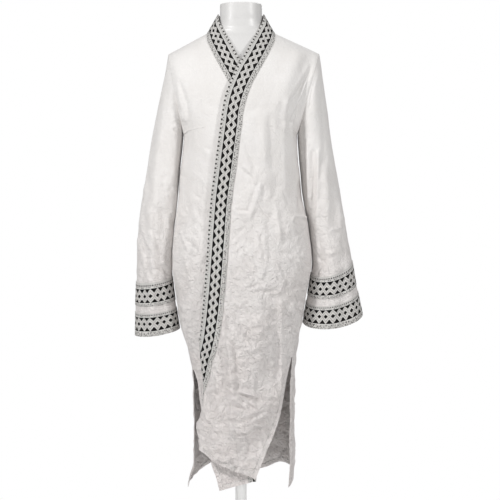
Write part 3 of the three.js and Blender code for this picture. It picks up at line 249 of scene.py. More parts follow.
# %% Creases: width, depth, then x and z of each point
CREASES = {
    "front_left": [
        (5.3, 2, 177, 1322, 117, 1213), (4.4, 1.7, 173, 1305, 154, 1251, 120, 1179),
        (4.2, -1.5, 163, 1285, 137, 1222), (4.9, 2.2, 144, 1232, 134, 1159), (6.1, 1.6, 125, 1237, 110, 1179),
        (6.1, -1.2, 112, 1232, 105, 1159), (5.3, 2.4, 132, 1188, 134, 1135), (9.7, 0.8, 10, 1205, 76, 1213),
        (5.3, 1.3, 3, 1142, 20, 1096, 37, 1062), (4.4, -1.2, 5, 1072, 33, 1045, 38, 1018),
        (9.7, 0.9, 71, 1203, 78, 1050), (9.7, -1.1, 103, 1159, 108, 989), (9.7, -0.8, 52, 1183, 57, 1074),
        (4.2, 1.6, -15, 963, 18, 962, 27, 987, 41, 1033), (4.2, -1, -20, 968, -4, 953),
        (4.2, 1.1, 1, 953, 18, 927), (4.4, 1.1, -20, 915, -9, 889, -2, 858),
        (4.6, 1.3, 49, 905, 54, 875, 57, 833), (4.4, 1.4, 5, 859, 29, 815, 38, 792),
        (4.2, -1.1, 20, 859, 41, 820), (4.4, 1.2, -20, 815, -15, 792), (4.2, 1.3, -20, 790, -4, 791),
        (4.4, 1.2, 21, 744, 1, 725), (4.9, 1.5, -26, 731, -5, 700, 15, 667), (6.1, 1.6, 95, 860, 134, 858),
        (4.4, 1.8, 149, 848, 173, 829), (4.4, 1.8, 115, 792, 100, 758), (4.4, 1.4, 133, 785, 151, 779),
        (5.8, -1.8, 98, 746, 98, 639), (9.7, 1.6, 61, 765, 59, 642), (9.7, 1.4, 78, 765, 76, 649),
        (4.4, 1.2, 8, 688, 33, 705), (4.4, -1.2, 15, 679, 46, 688), (4.4, 1.2, 10, 666, 41, 661),
        (4.2, 1.6, 103, 682, 120, 681, 134, 688), (4.2, 1.4, 133, 726, 149, 727),
        (6.1, -1.4, 84, 974, 98, 885), (7.3, 1.2, 66, 953, 71, 838), (4.2, -1.6, 133, 950, 173, 948),
        (4.2, -1.3, 125, 936, 134, 953), (6.1, 1.2, 134, 931, 163, 936), (4.9, 1.8, 143, 1038, 146, 960),
        (4.2, -1.5, 154, 1038, 159, 989),
        (8.5, 3.1, -41, 746, -46, 620, -41, 549, -36, 493, -42, 452, -58, 394),
        (8.5, -2.5, -30, 722, -29, 600, -21, 479, -26, 406), (5, 1.9, -18, 637, -8, 588, -10, 549, -8, 520),
        (4.2, 1.2, -43, 548, -20, 529), (4.2, 1.3, -41, 525, -18, 494), (4.2, -1, -36, 539, -16, 518),
        (4.2, 1.4, -74, 520, -56, 520), (6.8, 2.1, -45, 507, -74, 443, -87, 394),
        (4.2, 1.6, -95, 458, -79, 440), (4.2, -1.2, -87, 474, -82, 453),
        (4.2, 2.1, -8, 520, 38, 502, 93, 497), (4.2, -1.6, -7, 527, 37, 510), (4.4, 1.5, -8, 508, 46, 476),
        (4.2, -1.1, 8, 493, 42, 489), (4.2, 1.9, -5, 451, 31, 461, 61, 476), (4.2, 1.7, 28, 451, 66, 443),
        (4.2, 2.1, -10, 416, 21, 417, 42, 428), (4.2, -1.4, -9, 425, 22, 426), (4.2, -1.2, 32, 445, 57, 437),
        (4.2, 1.5, 52, 435, 71, 422), (4.2, 1.4, 3, 389, 28, 397, 47, 397), (4.2, 1.6, 15, 379, 52, 361),
        (4.5, -1.9, -31, 448, -21, 417, -10, 371), (4.2, 1.6, -33, 384, -21, 359, -8, 330),
        (4.2, 1.2, 18, 604, 29, 605, 39, 612), (4.9, 1.4, -8, 596, 0, 566, -8, 530),
        (4.2, 1.4, 5, 540, 21, 525, 46, 515), (4.2, 0.9, 39, 571, 39, 520), (6.1, 1.6, 91, 673, 87, 547),
        (5.3, -1.2, 99, 649, 98, 520), (4.9, 1.2, 52, 406, 66, 377), (4.4, 1, 27, 352, 13, 328),
        (4.9, 1.2, -63, 377, -38, 362),
    ],
    "front_right": [
        (7.3, 2, -151, 1281, -133, 1222), (6.1, 2.2, -133, 1232, -128, 1188),
        (5.8, -1.5, -157, 1251, -143, 1183), (7.3, 1.2, -126, 1203, -138, 1110),
        (7.3, 0.8, -87, 1222, -41, 1210), (4.2, 1, -87, 1118, -72, 1106), (4.2, 1.5, -156, 885, -138, 882),
        (4.4, -1.2, -154, 920, -138, 885, -128, 864), (6.8, 1.8, -145, 831, -126, 767),
        (5.8, -1.2, -133, 838, -126, 775), (4.2, 1, -115, 1002, -97, 994), (4.2, 0.8, -138, 912, -108, 936),
        (4.2, 1.5, -143, 688, -117, 687), (4.2, 1.6, -133, 675, -107, 676), (4.2, 1.6, -135, 664, -110, 651),
        (4.2, -1.2, -133, 658, -99, 649), (4.4, 1.8, -123, 620, -100, 591), (4.4, -1.3, -115, 622, -97, 595),
        (4.2, -1, -133, 637, -118, 605),
    ],
    "sleeve_left": [
        (4.9, -2, 168, 1296, 146, 1176), (4.9, 2, 174, 1299, 168, 1213), (5.4, -2.6, 189, 1114, 189, 919),
        (4.9, 2.2, 178, 1114, 177, 954), (4.4, -1.6, 165, 1139, 168, 991),
        (12.3, 2.1, 223, 1077, 228, 1013, 223, 877), (8.6, 1.6, 254, 909, 259, 843),
        (4.2, 1.5, 212, 865, 231, 870), (4.2, -1.2, 217, 856, 228, 861), (4.2, -1.2, 222, 917, 254, 922),
        (4.9, -1.5, 231, 816, 254, 823), (9.9, 1.2, 200, 1262, 210, 1077), (6.2, 1.4, 195, 904, 200, 831),
        (4.4, 1.2, 185, 855, 210, 838), (7.4, -1, 244, 991, 247, 929),
    ],
    "sleeve_right": [
        (4.9, 2.3, -254, 912, -234, 858, -224, 796), (4.9, -1.6, -246, 922, -226, 868),
        (6.7, 1.6, -215, 978, -211, 900, -199, 858), (7.4, 1.4, -240, 1077, -226, 1010),
        (4.9, 1.5, -224, 853, -185, 811), (4.4, 1.6, -207, 823, -177, 803), (4.4, -1.2, -197, 838, -177, 823),
        (4.2, 1.2, -166, 1166, -154, 1151), (5.8, -1.9, -160, 1013, -167, 951, -173, 858, -175, 798),
        (5.4, -2.6, -172, 794, -171, 660), (9.9, 1, -219, 1188, -224, 1077),
        (9.9, -0.9, -187, 1262, -199, 1114),
    ],
    "back": [
        (5.6, 1.8, 168, 1318, 146, 1268, 120, 1226), (5, 1.5, 150, 1290, 128, 1190),
        (6, -1.4, 140, 1262, 112, 1170), (6.2, 1.8, -158, 1300, -140, 1252, -128, 1204),
        (5, -1.4, -148, 1240, -130, 1160), (9, 1, -60, 1250, -4, 1238, 40, 1246),
        (9, 0.9, -70, 1180, -76, 1060), (9, -1, 64, 1170, 70, 1040), (5, 1.1, -92, 1120, -66, 1104),
        (4.6, 1.6, -60, 1010, -14, 987, 40, 992), (4.4, 1.3, 30, 960, 60, 948, 85, 945),
        (4.6, -1.1, 26, 970, 62, 958), (4.8, 1.3, -112, 930, -70, 948), (5.4, 1.4, 90, 900, 66, 850, 62, 800),
        (5, 1.5, -40, 880, -52, 826, -50, 770), (4.4, -1.2, -30, 870, -40, 800),
        (4.6, 1.4, 8, 846, 30, 812, 34, 780), (4.4, 1.2, -96, 812, -70, 800),
        (9, 2.7, -34, 742, -38, 610, -28, 490, -44, 376), (9, -2.3, -14, 724, -16, 570, -8, 430),
        (8, 2.2, 54, 764, 46, 640, 56, 515), (8, -1.5, 72, 730, 68, 600), (7, 1.9, 92, 640, 84, 520, 94, 400),
        (7, 1.7, -86, 664, -92, 540, -80, 430), (5, -1.3, -104, 650, -108, 520),
        (4.4, 1.9, -72, 522, -20, 500, 30, 506), (4.4, -1.4, -66, 531, -22, 510),
        (4.4, 1.7, 20, 470, 48, 456, 72, 452), (4.2, 1.5, -62, 455, -25, 462), (4.4, 1.5, 8, 560, 52, 575),
        (4.4, 1.5, -22, 412, 20, 398, 50, 404), (4.2, 1.4, 62, 362, 30, 345), (4.4, 1.3, -100, 396, -74, 382),
        (4.2, 1.2, 88, 720, 112, 728), (4.4, 1.4, -6, 690, 26, 702), (4.2, 1.3, 96, 588, 118, 600),
    ],
    "sleeve_left_back": [
        (9.5, 1.9, 226, 1100, 222, 1000, 228, 880), (5, 1.5, 204, 1186, 212, 1060),
        (4.6, 1.5, 236, 930, 262, 906), (4.4, 1.3, 214, 872, 246, 860), (5.4, 1.6, 258, 862, 264, 790),
        (4.4, 1.2, 200, 830, 218, 812), (4.8, -1.4, 246, 1010, 252, 930), (4.6, 1.3, 190, 900, 204, 868),
        (7, 1.2, 186, 1200, 176, 1100),
    ],
    "sleeve_right_back": [
        (9.5, 1.8, -218, 1092, -212, 984, -218, 862), (5, 1.5, -196, 1192, -206, 1080),
        (4.4, 1.5, -250, 930, -222, 904), (4.4, 1.2, -242, 862, -212, 868), (5.2, 1.7, -238, 862, -228, 798),
        (4.4, 1.2, -200, 838, -184, 816), (4.8, -1.4, -240, 1000, -246, 920),
        (4.6, 1.3, -186, 900, -198, 862), (7, 1.2, -180, 1196, -170, 1104),
    ],
}

# %% [markdown]
# ## From sections to points
# A section is a rounded oval, a little squarer than an ellipse. Near the shoulder seams the cloth can't
# reach further forward than the roundness of the shoulder allows, so the two limits are blended.


# %% Points of the body's sections
def shoulder_line(x):
    """Height of the shoulder seam at x."""
    (right_x, right_z), (left_x, left_z) = ARMHOLES["right"]["tip"], ARMHOLES["left"]["tip"]
    tip_x, tip_z = np.where(x < 0, -right_x, left_x), np.where(x < 0, right_z, left_z)
    return NECK_Z + (NECK_X - np.abs(x)) * (NECK_Z - tip_z) / (tip_x - NECK_X)


def depth_under(line, z, radius):
    """How far a round shoulder reaches forward or back at a height below its line."""
    return np.sqrt(2 * radius * np.maximum(0.01, line - z))


def lesser(reach, depth, power=6.0):
    """The smaller of the two, blended where they are nearly equal."""
    return (np.maximum(reach, 0.01) ** -power + depth**-power) ** (-1 / power)


def side_half(x, z):
    return np.where(x >= 0, body["high"](z), -body["low"](z))


def section_y(x, z, face, lift=0.0):
    half = side_half(x, z)
    reach = body["front" if face < 0 else "back"](z) + lift
    near = np.minimum(1, np.abs(x) / half)
    share = np.minimum(1, np.abs(x) / (half + body["ease"](z) * (1 - near**8)))
    depth = depth_under(shoulder_line(x), z, OVER_SHOULDER[face])
    return face * lesser(reach * (1 - share**ROUNDNESS) ** (1 / ROUNDNESS), depth)


def section_point(angle, z, face, lift=0.0):
    c = np.cos(angle)
    x = np.sign(c) * side_half(c, z) * np.abs(c) ** (2 / ROUNDNESS)
    return np.stack([x, section_y(x, z, face, lift), z + 0 * x], -1)


def angle_at(x, z):
    """The angle that section_point needs for that x."""
    angle = np.arccos(np.minimum(1, np.abs(x) / side_half(x, z)) ** (ROUNDNESS / 2))
    return np.where(x >= 0, angle, np.pi - angle)


def armhole_point(hole, turn, face):
    down = (1 - np.cos(turn)) / 2
    reach = hole["front" if face < 0 else "back"] * np.sin(turn)
    (tx, tz), (ux, uz) = hole["tip"], hole["underarm"]
    return np.array([mix(tx, ux, down), face * (reach + SEAM_GAP / 2), mix(tz, uz, down)])


def folded(points):
    """The largest folds, in the cloth in front only."""
    points = points.copy()
    hold = smooth((-points[..., 1] - 12) / 30)
    lift = 0
    for x0, z0, x1, z1, spread, height in FOLDS:
        dx, dz = x1 - x0, z1 - z0
        px, pz = points[..., 0] - x0, points[..., 2] - z0
        t = np.clip((px * dx + pz * dz) / (dx * dx + dz * dz), 0, 1)
        away = np.hypot(px - t * dx, pz - t * dz) / spread
        lift = lift + height * np.exp(-0.5 * away**2)
    points[..., 1] -= lift * hold
    return points


# %% [markdown]
# ## How creases and crumples lift the cloth
# A crease is a soft trough with a lip on one side, where the cloth it pushed away stands up; it fades at
# its two ends. Between the creases linen is never quite flat: two sizes of ridged noise give the fine
# crumpling, stronger towards the hem. Both move the cloth along its own normal, less where a seam or a
# braid holds it, and never into the form.


# %% Noise with a fixed seed
def lumps(points, size, seed):
    """Smooth noise from about -1 to 1, with lumps of about that size in millimetres."""
    rng = np.random.default_rng(seed)
    order = rng.permutation(256)
    ways = rng.normal(size=(256, 3))
    ways /= np.linalg.norm(ways, axis=1, keepdims=True)
    scaled = points / size
    cell = np.floor(scaled).astype(int)
    part = scaled - cell
    ease = part**3 * (part * (part * 6 - 15) + 10)
    total = 0
    for corner in np.ndindex(2, 2, 2):
        at = cell + corner
        pick = order[(order[(order[at[..., 0] & 255] + at[..., 1]) & 255] + at[..., 2]) & 255]
        total = total + np.prod(np.where(corner, ease, 1 - ease), -1) * (ways[pick] * (part - corner)).sum(-1)
    return 1.6 * total


# %% Normals and lengths of a grid
def normals_of(points, closed):
    down = np.gradient(points, axis=0)
    if closed:
        wide = np.concatenate([points[:, -2:-1], points, points[:, 1:2]], axis=1)
        across = (wide[:, 2:] - wide[:, :-2]) / 2
    else:
        across = np.gradient(points, axis=1)
    normal = np.cross(down, across)
    return normal / np.maximum(1e-9, np.linalg.norm(normal, axis=-1, keepdims=True))


def lengths_along(points, axis):
    steps = np.linalg.norm(np.diff(points, axis=axis), axis=-1)
    start = np.zeros_like(np.take(steps, [0], axis=axis))
    return np.concatenate([start, np.cumsum(steps, axis=axis)], axis=axis)


# %% Heights of creases and crumples
CREASE_DEPTH = 2.8  # millimetres for a depth of 1 in the table
CREASE_REACH = 4.5  # how far a crease can be felt, in widths


def crease_heights(points, rows):
    x, z = points[..., 0], points[..., 2]
    total = np.zeros_like(x)
    for width, depth, *run in rows:
        ends = np.array(run, float).reshape(-1, 2)
        reach = CREASE_REACH * width
        near = (np.abs(x - ends[:, 0].mean()) < np.ptp(ends[:, 0]) / 2 + 2 * reach) & (
            np.abs(z - ends[:, 1].mean()) < np.ptp(ends[:, 1]) / 2 + 2 * reach)
        if not near.any():
            continue
        here = np.stack([x[near], z[near]], -1)
        steps = np.diff(ends, axis=0)
        lengths = np.linalg.norm(steps, axis=1)
        start = np.concatenate([[0], np.cumsum(lengths)])
        best = np.full(len(here), 1e9)
        along, aside = np.zeros(len(here)), np.zeros(len(here))
        for k, (step, length) in enumerate(zip(steps, lengths)):
            away = here - ends[k]
            t = away @ step / length
            off = (away[:, 0] * step[1] - away[:, 1] * step[0]) / length
            distance = np.hypot(off, t - np.clip(t, 0, length))
            closer = distance < best
            best = np.where(closer, distance, best)
            along = np.where(closer, start[k] + t, along)
            aside = np.where(closer, off, aside)
        taper = min(0.35 * start[-1], 4 * width)
        strength = smooth(along / taper + 0.35) * smooth((start[-1] - along) / taper + 0.35)
        side = np.where(aside < 0, -1, 1) * best
        lip = 0.5 * np.exp(-(((side - 1.7 * width) / (1.4 * width)) ** 2))
        total[near] -= CREASE_DEPTH * depth * strength * (np.exp(-((best / width) ** 1.4)) - lip)
    return total


def crumple_heights(points, seed, share):
    warped = points + 9 * np.stack([lumps(points, 60, seed + k) for k in (1, 2, 3)], -1)
    large = np.abs(lumps(warped * [0.8, 0.8, 1], 46, seed + 4))
    small = np.abs(lumps(warped, 23, seed + 5))
    soft = lumps(points, 85, seed + 6)
    heights, strengths = [300, 640, 800, 1000, 1150, 1400], [1.15, 1.2, 1.15, 0.5, 0.14, 0.08]
    strength = np.interp(points[..., 2], heights, strengths)
    return share * strength * (4.6 * (0.25 - large) + 2.0 * (0.25 - small) + 1.2 * soft)


def small_creases(low, high, count, seed):
    """Short bent creases between two corners (x, z): mostly across near the hem, upright higher up."""
    rng = np.random.default_rng(seed)
    rows = []
    for x, z in rng.uniform(low, high, size=(count, 2)):
        upright = np.interp(z, [550, 800, 1050], [0.1, 0.5, 0.9])
        tilt = rng.normal(78, 14) if rng.random() < upright else rng.normal(18, 26)
        slope = math.radians(tilt) * rng.choice([-1, 1])
        half = rng.uniform(6, 26)
        bend = rng.normal(0, 0.16) * half
        cos, sin = math.cos(slope), math.sin(slope)
        run = []
        for t, b in ((-1, 0), (0, bend), (1, 0)):
            run += [x + half * t * cos + b * -sin, z + half * t * sin + b * cos]
        toward_hem = np.interp(z, [600, 900, 1100, 1400], [1.7, 1.25, 0.25, 0.06])
        depth = rng.uniform(0.35, 1.2) * toward_hem * (0.55 + half / 40)
        rows.append((rng.uniform(3.4, 5.2), depth * (1 if rng.random() < 0.72 else -0.8), *run))
    return rows


# %% Lift a grid of cloth
DEEPEST = 5.0  # so that a trough never reaches the layer behind


def creased(points, sign, closed, front, back, seed, held, crumpled=1.0):
    """held is 1 where the cloth is free and 0 where a seam holds it."""
    normals = normals_of(points, closed) * sign
    facing = -normals[..., 1]
    forward, backward = smooth(facing / 0.3), smooth(-facing / 0.3)
    height = forward * crease_heights(points, front) + backward * crease_heights(points, back)
    height = (height + crumple_heights(points, seed, crumpled)) * held
    height = np.where(height < 0, DEEPEST * np.tanh(height / DEEPEST), height)
    return points + normals * height[..., None]


def clear_of_form(points, gap):
    """Keeps cloth in front of or behind the form by at least the gap."""
    x, y, z = np.moveaxis(points, -1, 0)
    half = form_curves["half"](z)
    inside = np.minimum(1, np.abs(x) / half)
    on_form = (inside < 0.97) & (z > FORM_BOTTOM_Z - 1)
    for face, name in ((-1, "front"), (1, "back")):
        reach = form_curves[name](z) * (1 - inside**ROUNDNESS) ** (1 / ROUNDNESS)
        depth = depth_under(shoulder_line(x) - FORM_DROP, z, FORM_SHOULDER[face])
        surface = np.where((z < FORM_NECK_Z) & (z > UNDERARM_Z), lesser(reach, depth), reach)
        low = on_form & (face * y > 0) & (face * y < surface + gap)
        y = np.where(low, face * (surface + gap), y)
    return np.stack([x, y, z], -1)


# %% [markdown]
# ## The two fronts
# Each front is laid out in rows that run from the side seam to the opening edge. Down to the underarm the
# rows start on the armhole; below it they start on the side seam, and below the slit's top on the slit's
# own edge. The lower rows of the left front roll back on themselves, so these are measured along the
# cloth: first along the section, then round the curl and back behind it.

# %% Rows of a front
ROWS_UP, ROWS_DOWN = 10, 24  # rows of the solids; the finished cloth has many rows between them
SIDE_ROWS = 15  # of the rows down, how many start on the side seam
LIFTS_OVER = 0.6  # the share of a row over which a front comes to stand off the section
UPPER_CLOTH = 0.74  # how much of a row above the underarm is bare cloth


def row_height(top, slit, hem, row):
    on_side = mix(top, slit, row / SIDE_ROWS)
    on_slit = mix(slit, hem, (row - SIDE_ROWS) / (ROWS_DOWN - SIDE_ROWS))
    return np.where(row <= SIDE_ROWS, on_side, on_slit)


panel_curves = {
    side: {
        **curves_through(panel["opening"]),
        "slit": curve_through(panel["slit"], "x"),
    }
    for side, panel in PANELS.items()
}


class LowerRow:
    """One row below the underarm, as a path measured along the cloth from the side to the opening edge."""

    def __init__(self, side, row):
        side_z = float(row_height(UNDERARM_Z, SLIT_TOP[side], PANELS[side]["hem"][0], row))
        fold_z = mix(OPENING_Z, PANELS[side]["hem"][1], row / ROWS_DOWN)
        curves = panel_curves[side]
        swung = math.radians(float(swing[side](side_z)))
        seam_angle = swung if side == "left" else math.pi - swung
        side_angle = seam_angle
        if side_z < SLIT_TOP[side]:
            side_angle = float(angle_at(curves["slit"](side_z), side_z))
        spread = float(layers["spread"](fold_z)) if side == "left" else 0.0
        fold_angle = float(angle_at(curves["fold"](fold_z) + spread, fold_z))
        t = np.linspace(0, 1, 161)
        z = mix(side_z, fold_z, t)
        lift = layers[side](z) * smooth(t / LIFTS_OVER)
        path = section_point(mix(side_angle, fold_angle, t), z, -1, lift)
        path[:, 0] -= spread * smooth(-path[:, 0] / 60)
        self.path = path
        self.lengths = np.concatenate([[0], np.cumsum(np.linalg.norm(np.diff(path, axis=0), axis=1))])
        self.turned = float(curves["turned"](fold_z))
        self.curl = min(float(curves["curl"](fold_z)), self.turned * 0.5 + 0.5) if self.turned > 0 else 0.0
        self.bend = self.lengths[-1] - self.curl
        rolled = self.bend + math.pi * self.curl / 2 + self.turned
        self.length = rolled if self.turned > 0 else self.lengths[-1]
        self.fold = self.length - self.turned
        self.seam = self.length - BRAID_WIDTH

    def on_path(self, s):
        return np.stack([np.interp(s, self.lengths, self.path[:, k]) for k in range(3)], -1)

    def frame_at(self, s):
        along = self.on_path(s + 0.5) - self.on_path(s - 0.5)
        along[..., 2] = 0
        tangent = along / np.maximum(1e-9, np.linalg.norm(along, axis=-1, keepdims=True))
        inward = np.stack([-tangent[..., 1], tangent[..., 0], 0 * tangent[..., 0]], -1)
        return tangent, inward * (-1 if self.path[-1, 0] < self.path[0, 0] else 1)

    def place(self, s):
        points = self.on_path(np.minimum(s, self.lengths[-1]))
        if self.curl == 0:
            return points
        turn = (s - self.bend) / self.curl
        start = self.on_path(np.full_like(s, self.bend))
        tangent, inward = self.frame_at(np.full_like(s, self.bend - 1))
        forward, sideways = np.sin(turn)[:, None], (1 - np.cos(turn))[:, None]
        round_it = start + self.curl * (tangent * forward + inward * sideways)
        back_at = self.bend - (s - self.bend - math.pi * self.curl)
        inward = self.frame_at(np.minimum(back_at, self.bend - 1))[1]
        behind = self.on_path(np.minimum(back_at, self.bend)) + 2 * self.curl * inward
        points = np.where((turn > 0)[:, None], round_it, points)
        return np.where((turn >= math.pi)[:, None], behind, points)

    def share(self, q):
        """q runs from 0 at the side to 1 at the braid's seam and 2 at the opening edge."""
        return self.place(np.where(q <= 1, q * self.seam, self.seam + (q - 1) * BRAID_WIDTH))


def armhole_row(side, row):
    """Where a row starts on the armhole, how far down it that is, and the neck's places on that row."""
    hole = ARMHOLES[side]
    turn = math.pi * row / ROWS_UP
    down = (1 - math.cos(turn)) / 2
    drop = min(NECK_DROP, (hole["tip"][1] - hole["underarm"][1]) * down)
    at = {name: float(curve(drop)) for name, curve in neck.items()}
    return armhole_point(hole, turn, -1), down, at


def upper_row(side, row, q, first, ends):
    """A row above the underarm; first is the underarm's row at the same q, and ends are its cloth's ends."""
    hole = ARMHOLES[side]
    start, down, at = armhole_row(side, row)
    seam_x = hole["sign"] * at["seam_x"]
    t = np.minimum(q, 1)
    side_end, seam_end = ends
    share_x = (first[:, 0] - side_end[0]) / (seam_end[0] - side_end[0])
    share_z = (first[:, 2] - side_end[2]) / (seam_end[2] - side_end[2])
    inside = q <= 1
    x = mix(start[0], seam_x, mix(t, np.where(inside, share_x, 1), down))
    z = mix(start[2], at["seam_z"], mix(t, np.where(inside, share_z, 1), down))
    miss = start[1] - float(section_y(start[0], start[2], -1))
    held = smooth(row / 0.5)
    lift = layers[side](z) * smooth(UPPER_CLOTH * t / LIFTS_OVER)
    y = mix(-SEAM_GAP / 2, section_y(x, z, -1, lift) + miss * (1 - t) ** 4, held)
    edge_y = at["edge_y"] - float(layers[side](at["edge_z"]))
    across = np.clip(q - 1, 0, 1)
    band = np.stack([
        mix(x, hole["sign"] * at["edge_x"], across),
        mix(y, mix(-SEAM_GAP / 2, edge_y, held), across) - held * 9 * across * (1 - across),
        mix(z, at["edge_z"], across),
    ], -1)
    return np.where(inside[:, None], np.stack([x, y, z], -1), band)


# %% A whole front as a grid of points
def front_rows(up, down):
    """Row numbers from 0 at the shoulder to 34 at the hem, evenly along the cloth."""
    upper = np.linspace(0, ROWS_UP, up, endpoint=False)
    return np.concatenate([upper, ROWS_UP + np.linspace(0, ROWS_DOWN, down)])


def front_grid(side, rows, stations):
    """stations(cloth, fold, rolled) gives q for a row with cloth that wide, which rolls there so much."""
    first_row = LowerRow(side, 0)
    ends = first_row.share(np.array([0.0, 1.0]))
    grid, shares = [], []
    for row in rows:
        if row >= ROWS_UP:
            lower = LowerRow(side, row - ROWS_UP)
            shares.append(stations(lower.seam, lower.fold, float(smooth(lower.turned / 25))))
            grid.append(lower.share(shares[-1]))
            continue
        start, _, at = armhole_row(side, row)
        width = math.hypot(start[0] - ARMHOLES[side]["sign"] * at["seam_x"], start[2] - at["seam_z"])
        q = stations(width, 0.0, 0.0)
        shares.append(q)
        first = first_row.share(q)
        points = upper_row(side, row, q, first, ends)
        late = smooth((row - 8) / 2)
        grid.append(points + late * (first - upper_row(side, ROWS_UP, q, first, ends)))
    return folded(np.array(grid)), np.array(shares)


def cloth_stations(columns):
    """Even steps over the whole row, closer together where the cloth rolls."""

    def stations(cloth, fold, rolled):
        s = np.linspace(0, cloth + BRAID_WIDTH, 600)
        dense = 1 + 2.5 * rolled * np.exp(-(((s - fold) / 12) ** 2))
        total = np.concatenate([[0], np.cumsum((dense[1:] + dense[:-1]) / 2)])
        at = np.interp(np.linspace(0, total[-1], columns), total, s)
        return np.where(at <= cloth, at / cloth, 1 + (at - cloth) / BRAID_WIDTH)

    return stations


# %% [markdown]
# ## The back, the neck band and the sleeves
# The back is one piece from the left side seam round to the right one. Its rows start on the armholes
# above the underarm, and between the shoulder seams on the curve of the neckline. A sleeve is a tube: its
# first ring is the armhole, and each ring below it is an oval.


# %% The back
# Steps across the solids' back: on each shoulder seam, round the neck, and in all.
SHOULDER_SPANS, NECK_SPANS, BACK_SPANS = 6, 10, 22


def neckline_at(t):
    angle = np.pi * t
    x = -0.5 + (NECK_X + 0.5) * np.cos(angle)
    z = NECK_Z - 3 * np.sin(angle)
    at_end = (t < 1e-6) | (t > 1 - 1e-6)
    y = np.where(at_end, SEAM_GAP / 2, section_y(x, z, 1) * smooth(0.25 + 3 * np.sin(angle)))
    return np.stack([x, y, z], -1)


def back_point(angle, z):
    behind = (angle >= 0) & (angle <= np.pi)
    mirrored = np.where(angle < 0, -angle, 2 * np.pi - angle)
    return np.where(behind[..., None], section_point(angle, z, 1), section_point(mirrored, z, -1))


def back_angle(j, z):
    return mix(-np.radians(swing["left"](z)), np.pi + np.radians(swing["right"](z)), j / BACK_SPANS)


def back_grid(rows, j):
    """rows are numbered as a front's are, and j runs from 0 at the left side to 22 at the right."""
    holes = ARMHOLES["left"], ARMHOLES["right"]
    neck_end = BACK_SPANS - SHOULDER_SPANS
    top = neckline_at(np.clip((j - SHOULDER_SPANS) / NECK_SPANS, 0, 1)) - [0, 0, SEAM_GAP]
    for hole, end, t, here in (
        (holes[0], neckline_at(np.array(0.0)), j / SHOULDER_SPANS, j <= SHOULDER_SPANS),
        (holes[1], neckline_at(np.array(1.0)), (BACK_SPANS - j) / SHOULDER_SPANS, j >= neck_end),
    ):
        top[here, 0] = mix(hole["tip"][0], end[0], t[here])
        top[here, 1] = SEAM_GAP / 2
        top[here, 2] = mix(hole["tip"][1], end[2] - SEAM_GAP, t[here])
    low = back_point(back_angle(j, UNDERARM_Z), np.full_like(j, UNDERARM_Z))
    t = j / BACK_SPANS
    in_neck = smooth(np.minimum(j - SHOULDER_SPANS, neck_end - j))
    grid = []
    for row in rows:
        if row < ROWS_UP:
            turn = math.pi * row / ROWS_UP
            down = (1 - math.cos(turn)) / 2
            x, z = mix(top[:, 0], low[:, 0], down), mix(top[:, 2], low[:, 2], down)
            starts = [armhole_point(hole, turn, 1) for hole in holes]
            misses = [s[1] - float(section_y(s[0], s[2], 1)) for s in starts]
            drawn = (top[:, 1] - section_y(top[:, 0], top[:, 2], 1)) * (1 - down) ** 24
            y = section_y(x, z, 1) + misses[0] * (1 - t) ** 8 + misses[1] * t**8 + in_neck * drawn
            points = np.stack([x, mix(top[:, 1], y, smooth(row / 0.5)), z], -1)
            points[0], points[-1] = starts
            grid.append(points)
        else:
            slit_top = mix(SLIT_TOP["left"], SLIT_TOP["right"], t)
            z = row_height(UNDERARM_Z, slit_top, back_hem(t), row - ROWS_UP)
            grid.append(back_point(back_angle(j, z), z))
    return np.array(grid)


COLLAR_HALF, COLLAR_BACK, COLLAR_Z, COLLAR_DIP = 56, 53, 1456, 4  # the neck band's upper edge


def neckband_grid(rows, columns):
    t = np.linspace(0, 1, columns)
    seam = neckline_at(t)
    c, s = np.cos(np.pi * t), np.sin(np.pi * t)
    edge = np.stack([COLLAR_HALF * c, COLLAR_BACK * s + SEAM_GAP / 2, COLLAR_Z - COLLAR_DIP * s], -1)
    return np.array([mix(edge, seam, share) for share in np.linspace(0, 1, rows)])


# %% A sleeve
UNDERARM_LAP = 2.4  # how far outside the body's side a sleeve is set under the arm


def sleeve_grid(side, rings, columns):
    """rings run from 0 at the armhole to 13 at the hem; columns go round, from the tip down the front."""
    hole, curves = ARMHOLES[side], curves_through(SLEEVES[side])
    turn = np.linspace(0, 2 * np.pi, columns)
    t, forward = (1 - np.cos(turn)) / 2, np.sin(turn)
    round_front = turn <= np.pi
    seam_turn = np.where(round_front, turn, 2 * np.pi - turn)
    seam = np.array([armhole_point(hole, a, -1 if f else 1) for a, f in zip(seam_turn, round_front)])
    seam[np.abs(forward) < 1e-9, 1] = 0
    seam = folded(seam)

    def ring_at(ring):
        at = {name: float(curve(ring)) for name, curve in curves.items()}
        hang = at["dip"] * np.abs(forward) * np.where(forward > 0, 1, 0.5)
        return folded(np.stack([
            mix(at["outer_x"], at["inner_x"], t),
            at["middle"] - np.where(forward > 0, at["front"], at["back"]) * forward,
            mix(at["outer_z"], at["inner_z"], t) - hang,
        ], -1))

    first = ring_at(1)
    away = first - seam
    seam = seam + 0.9 * away / np.linalg.norm(away, axis=-1, keepdims=True)
    seam[:, 0] += hole["sign"] * UNDERARM_LAP * smooth((seam_turn - 2.2) / 0.8)
    return np.array([mix(seam, first, ring) if ring < 1 else ring_at(ring) for ring in rings])


# %% [markdown]
# ## Cloth from a grid
# Blender's grid operator gives an even sheet with its own texture coordinates. Moving its points onto the
# rows worked out above makes the cloth, and a Solidify modifier gives it its real thin wall. A sleeve is
# the same sheet with its two long edges merged.


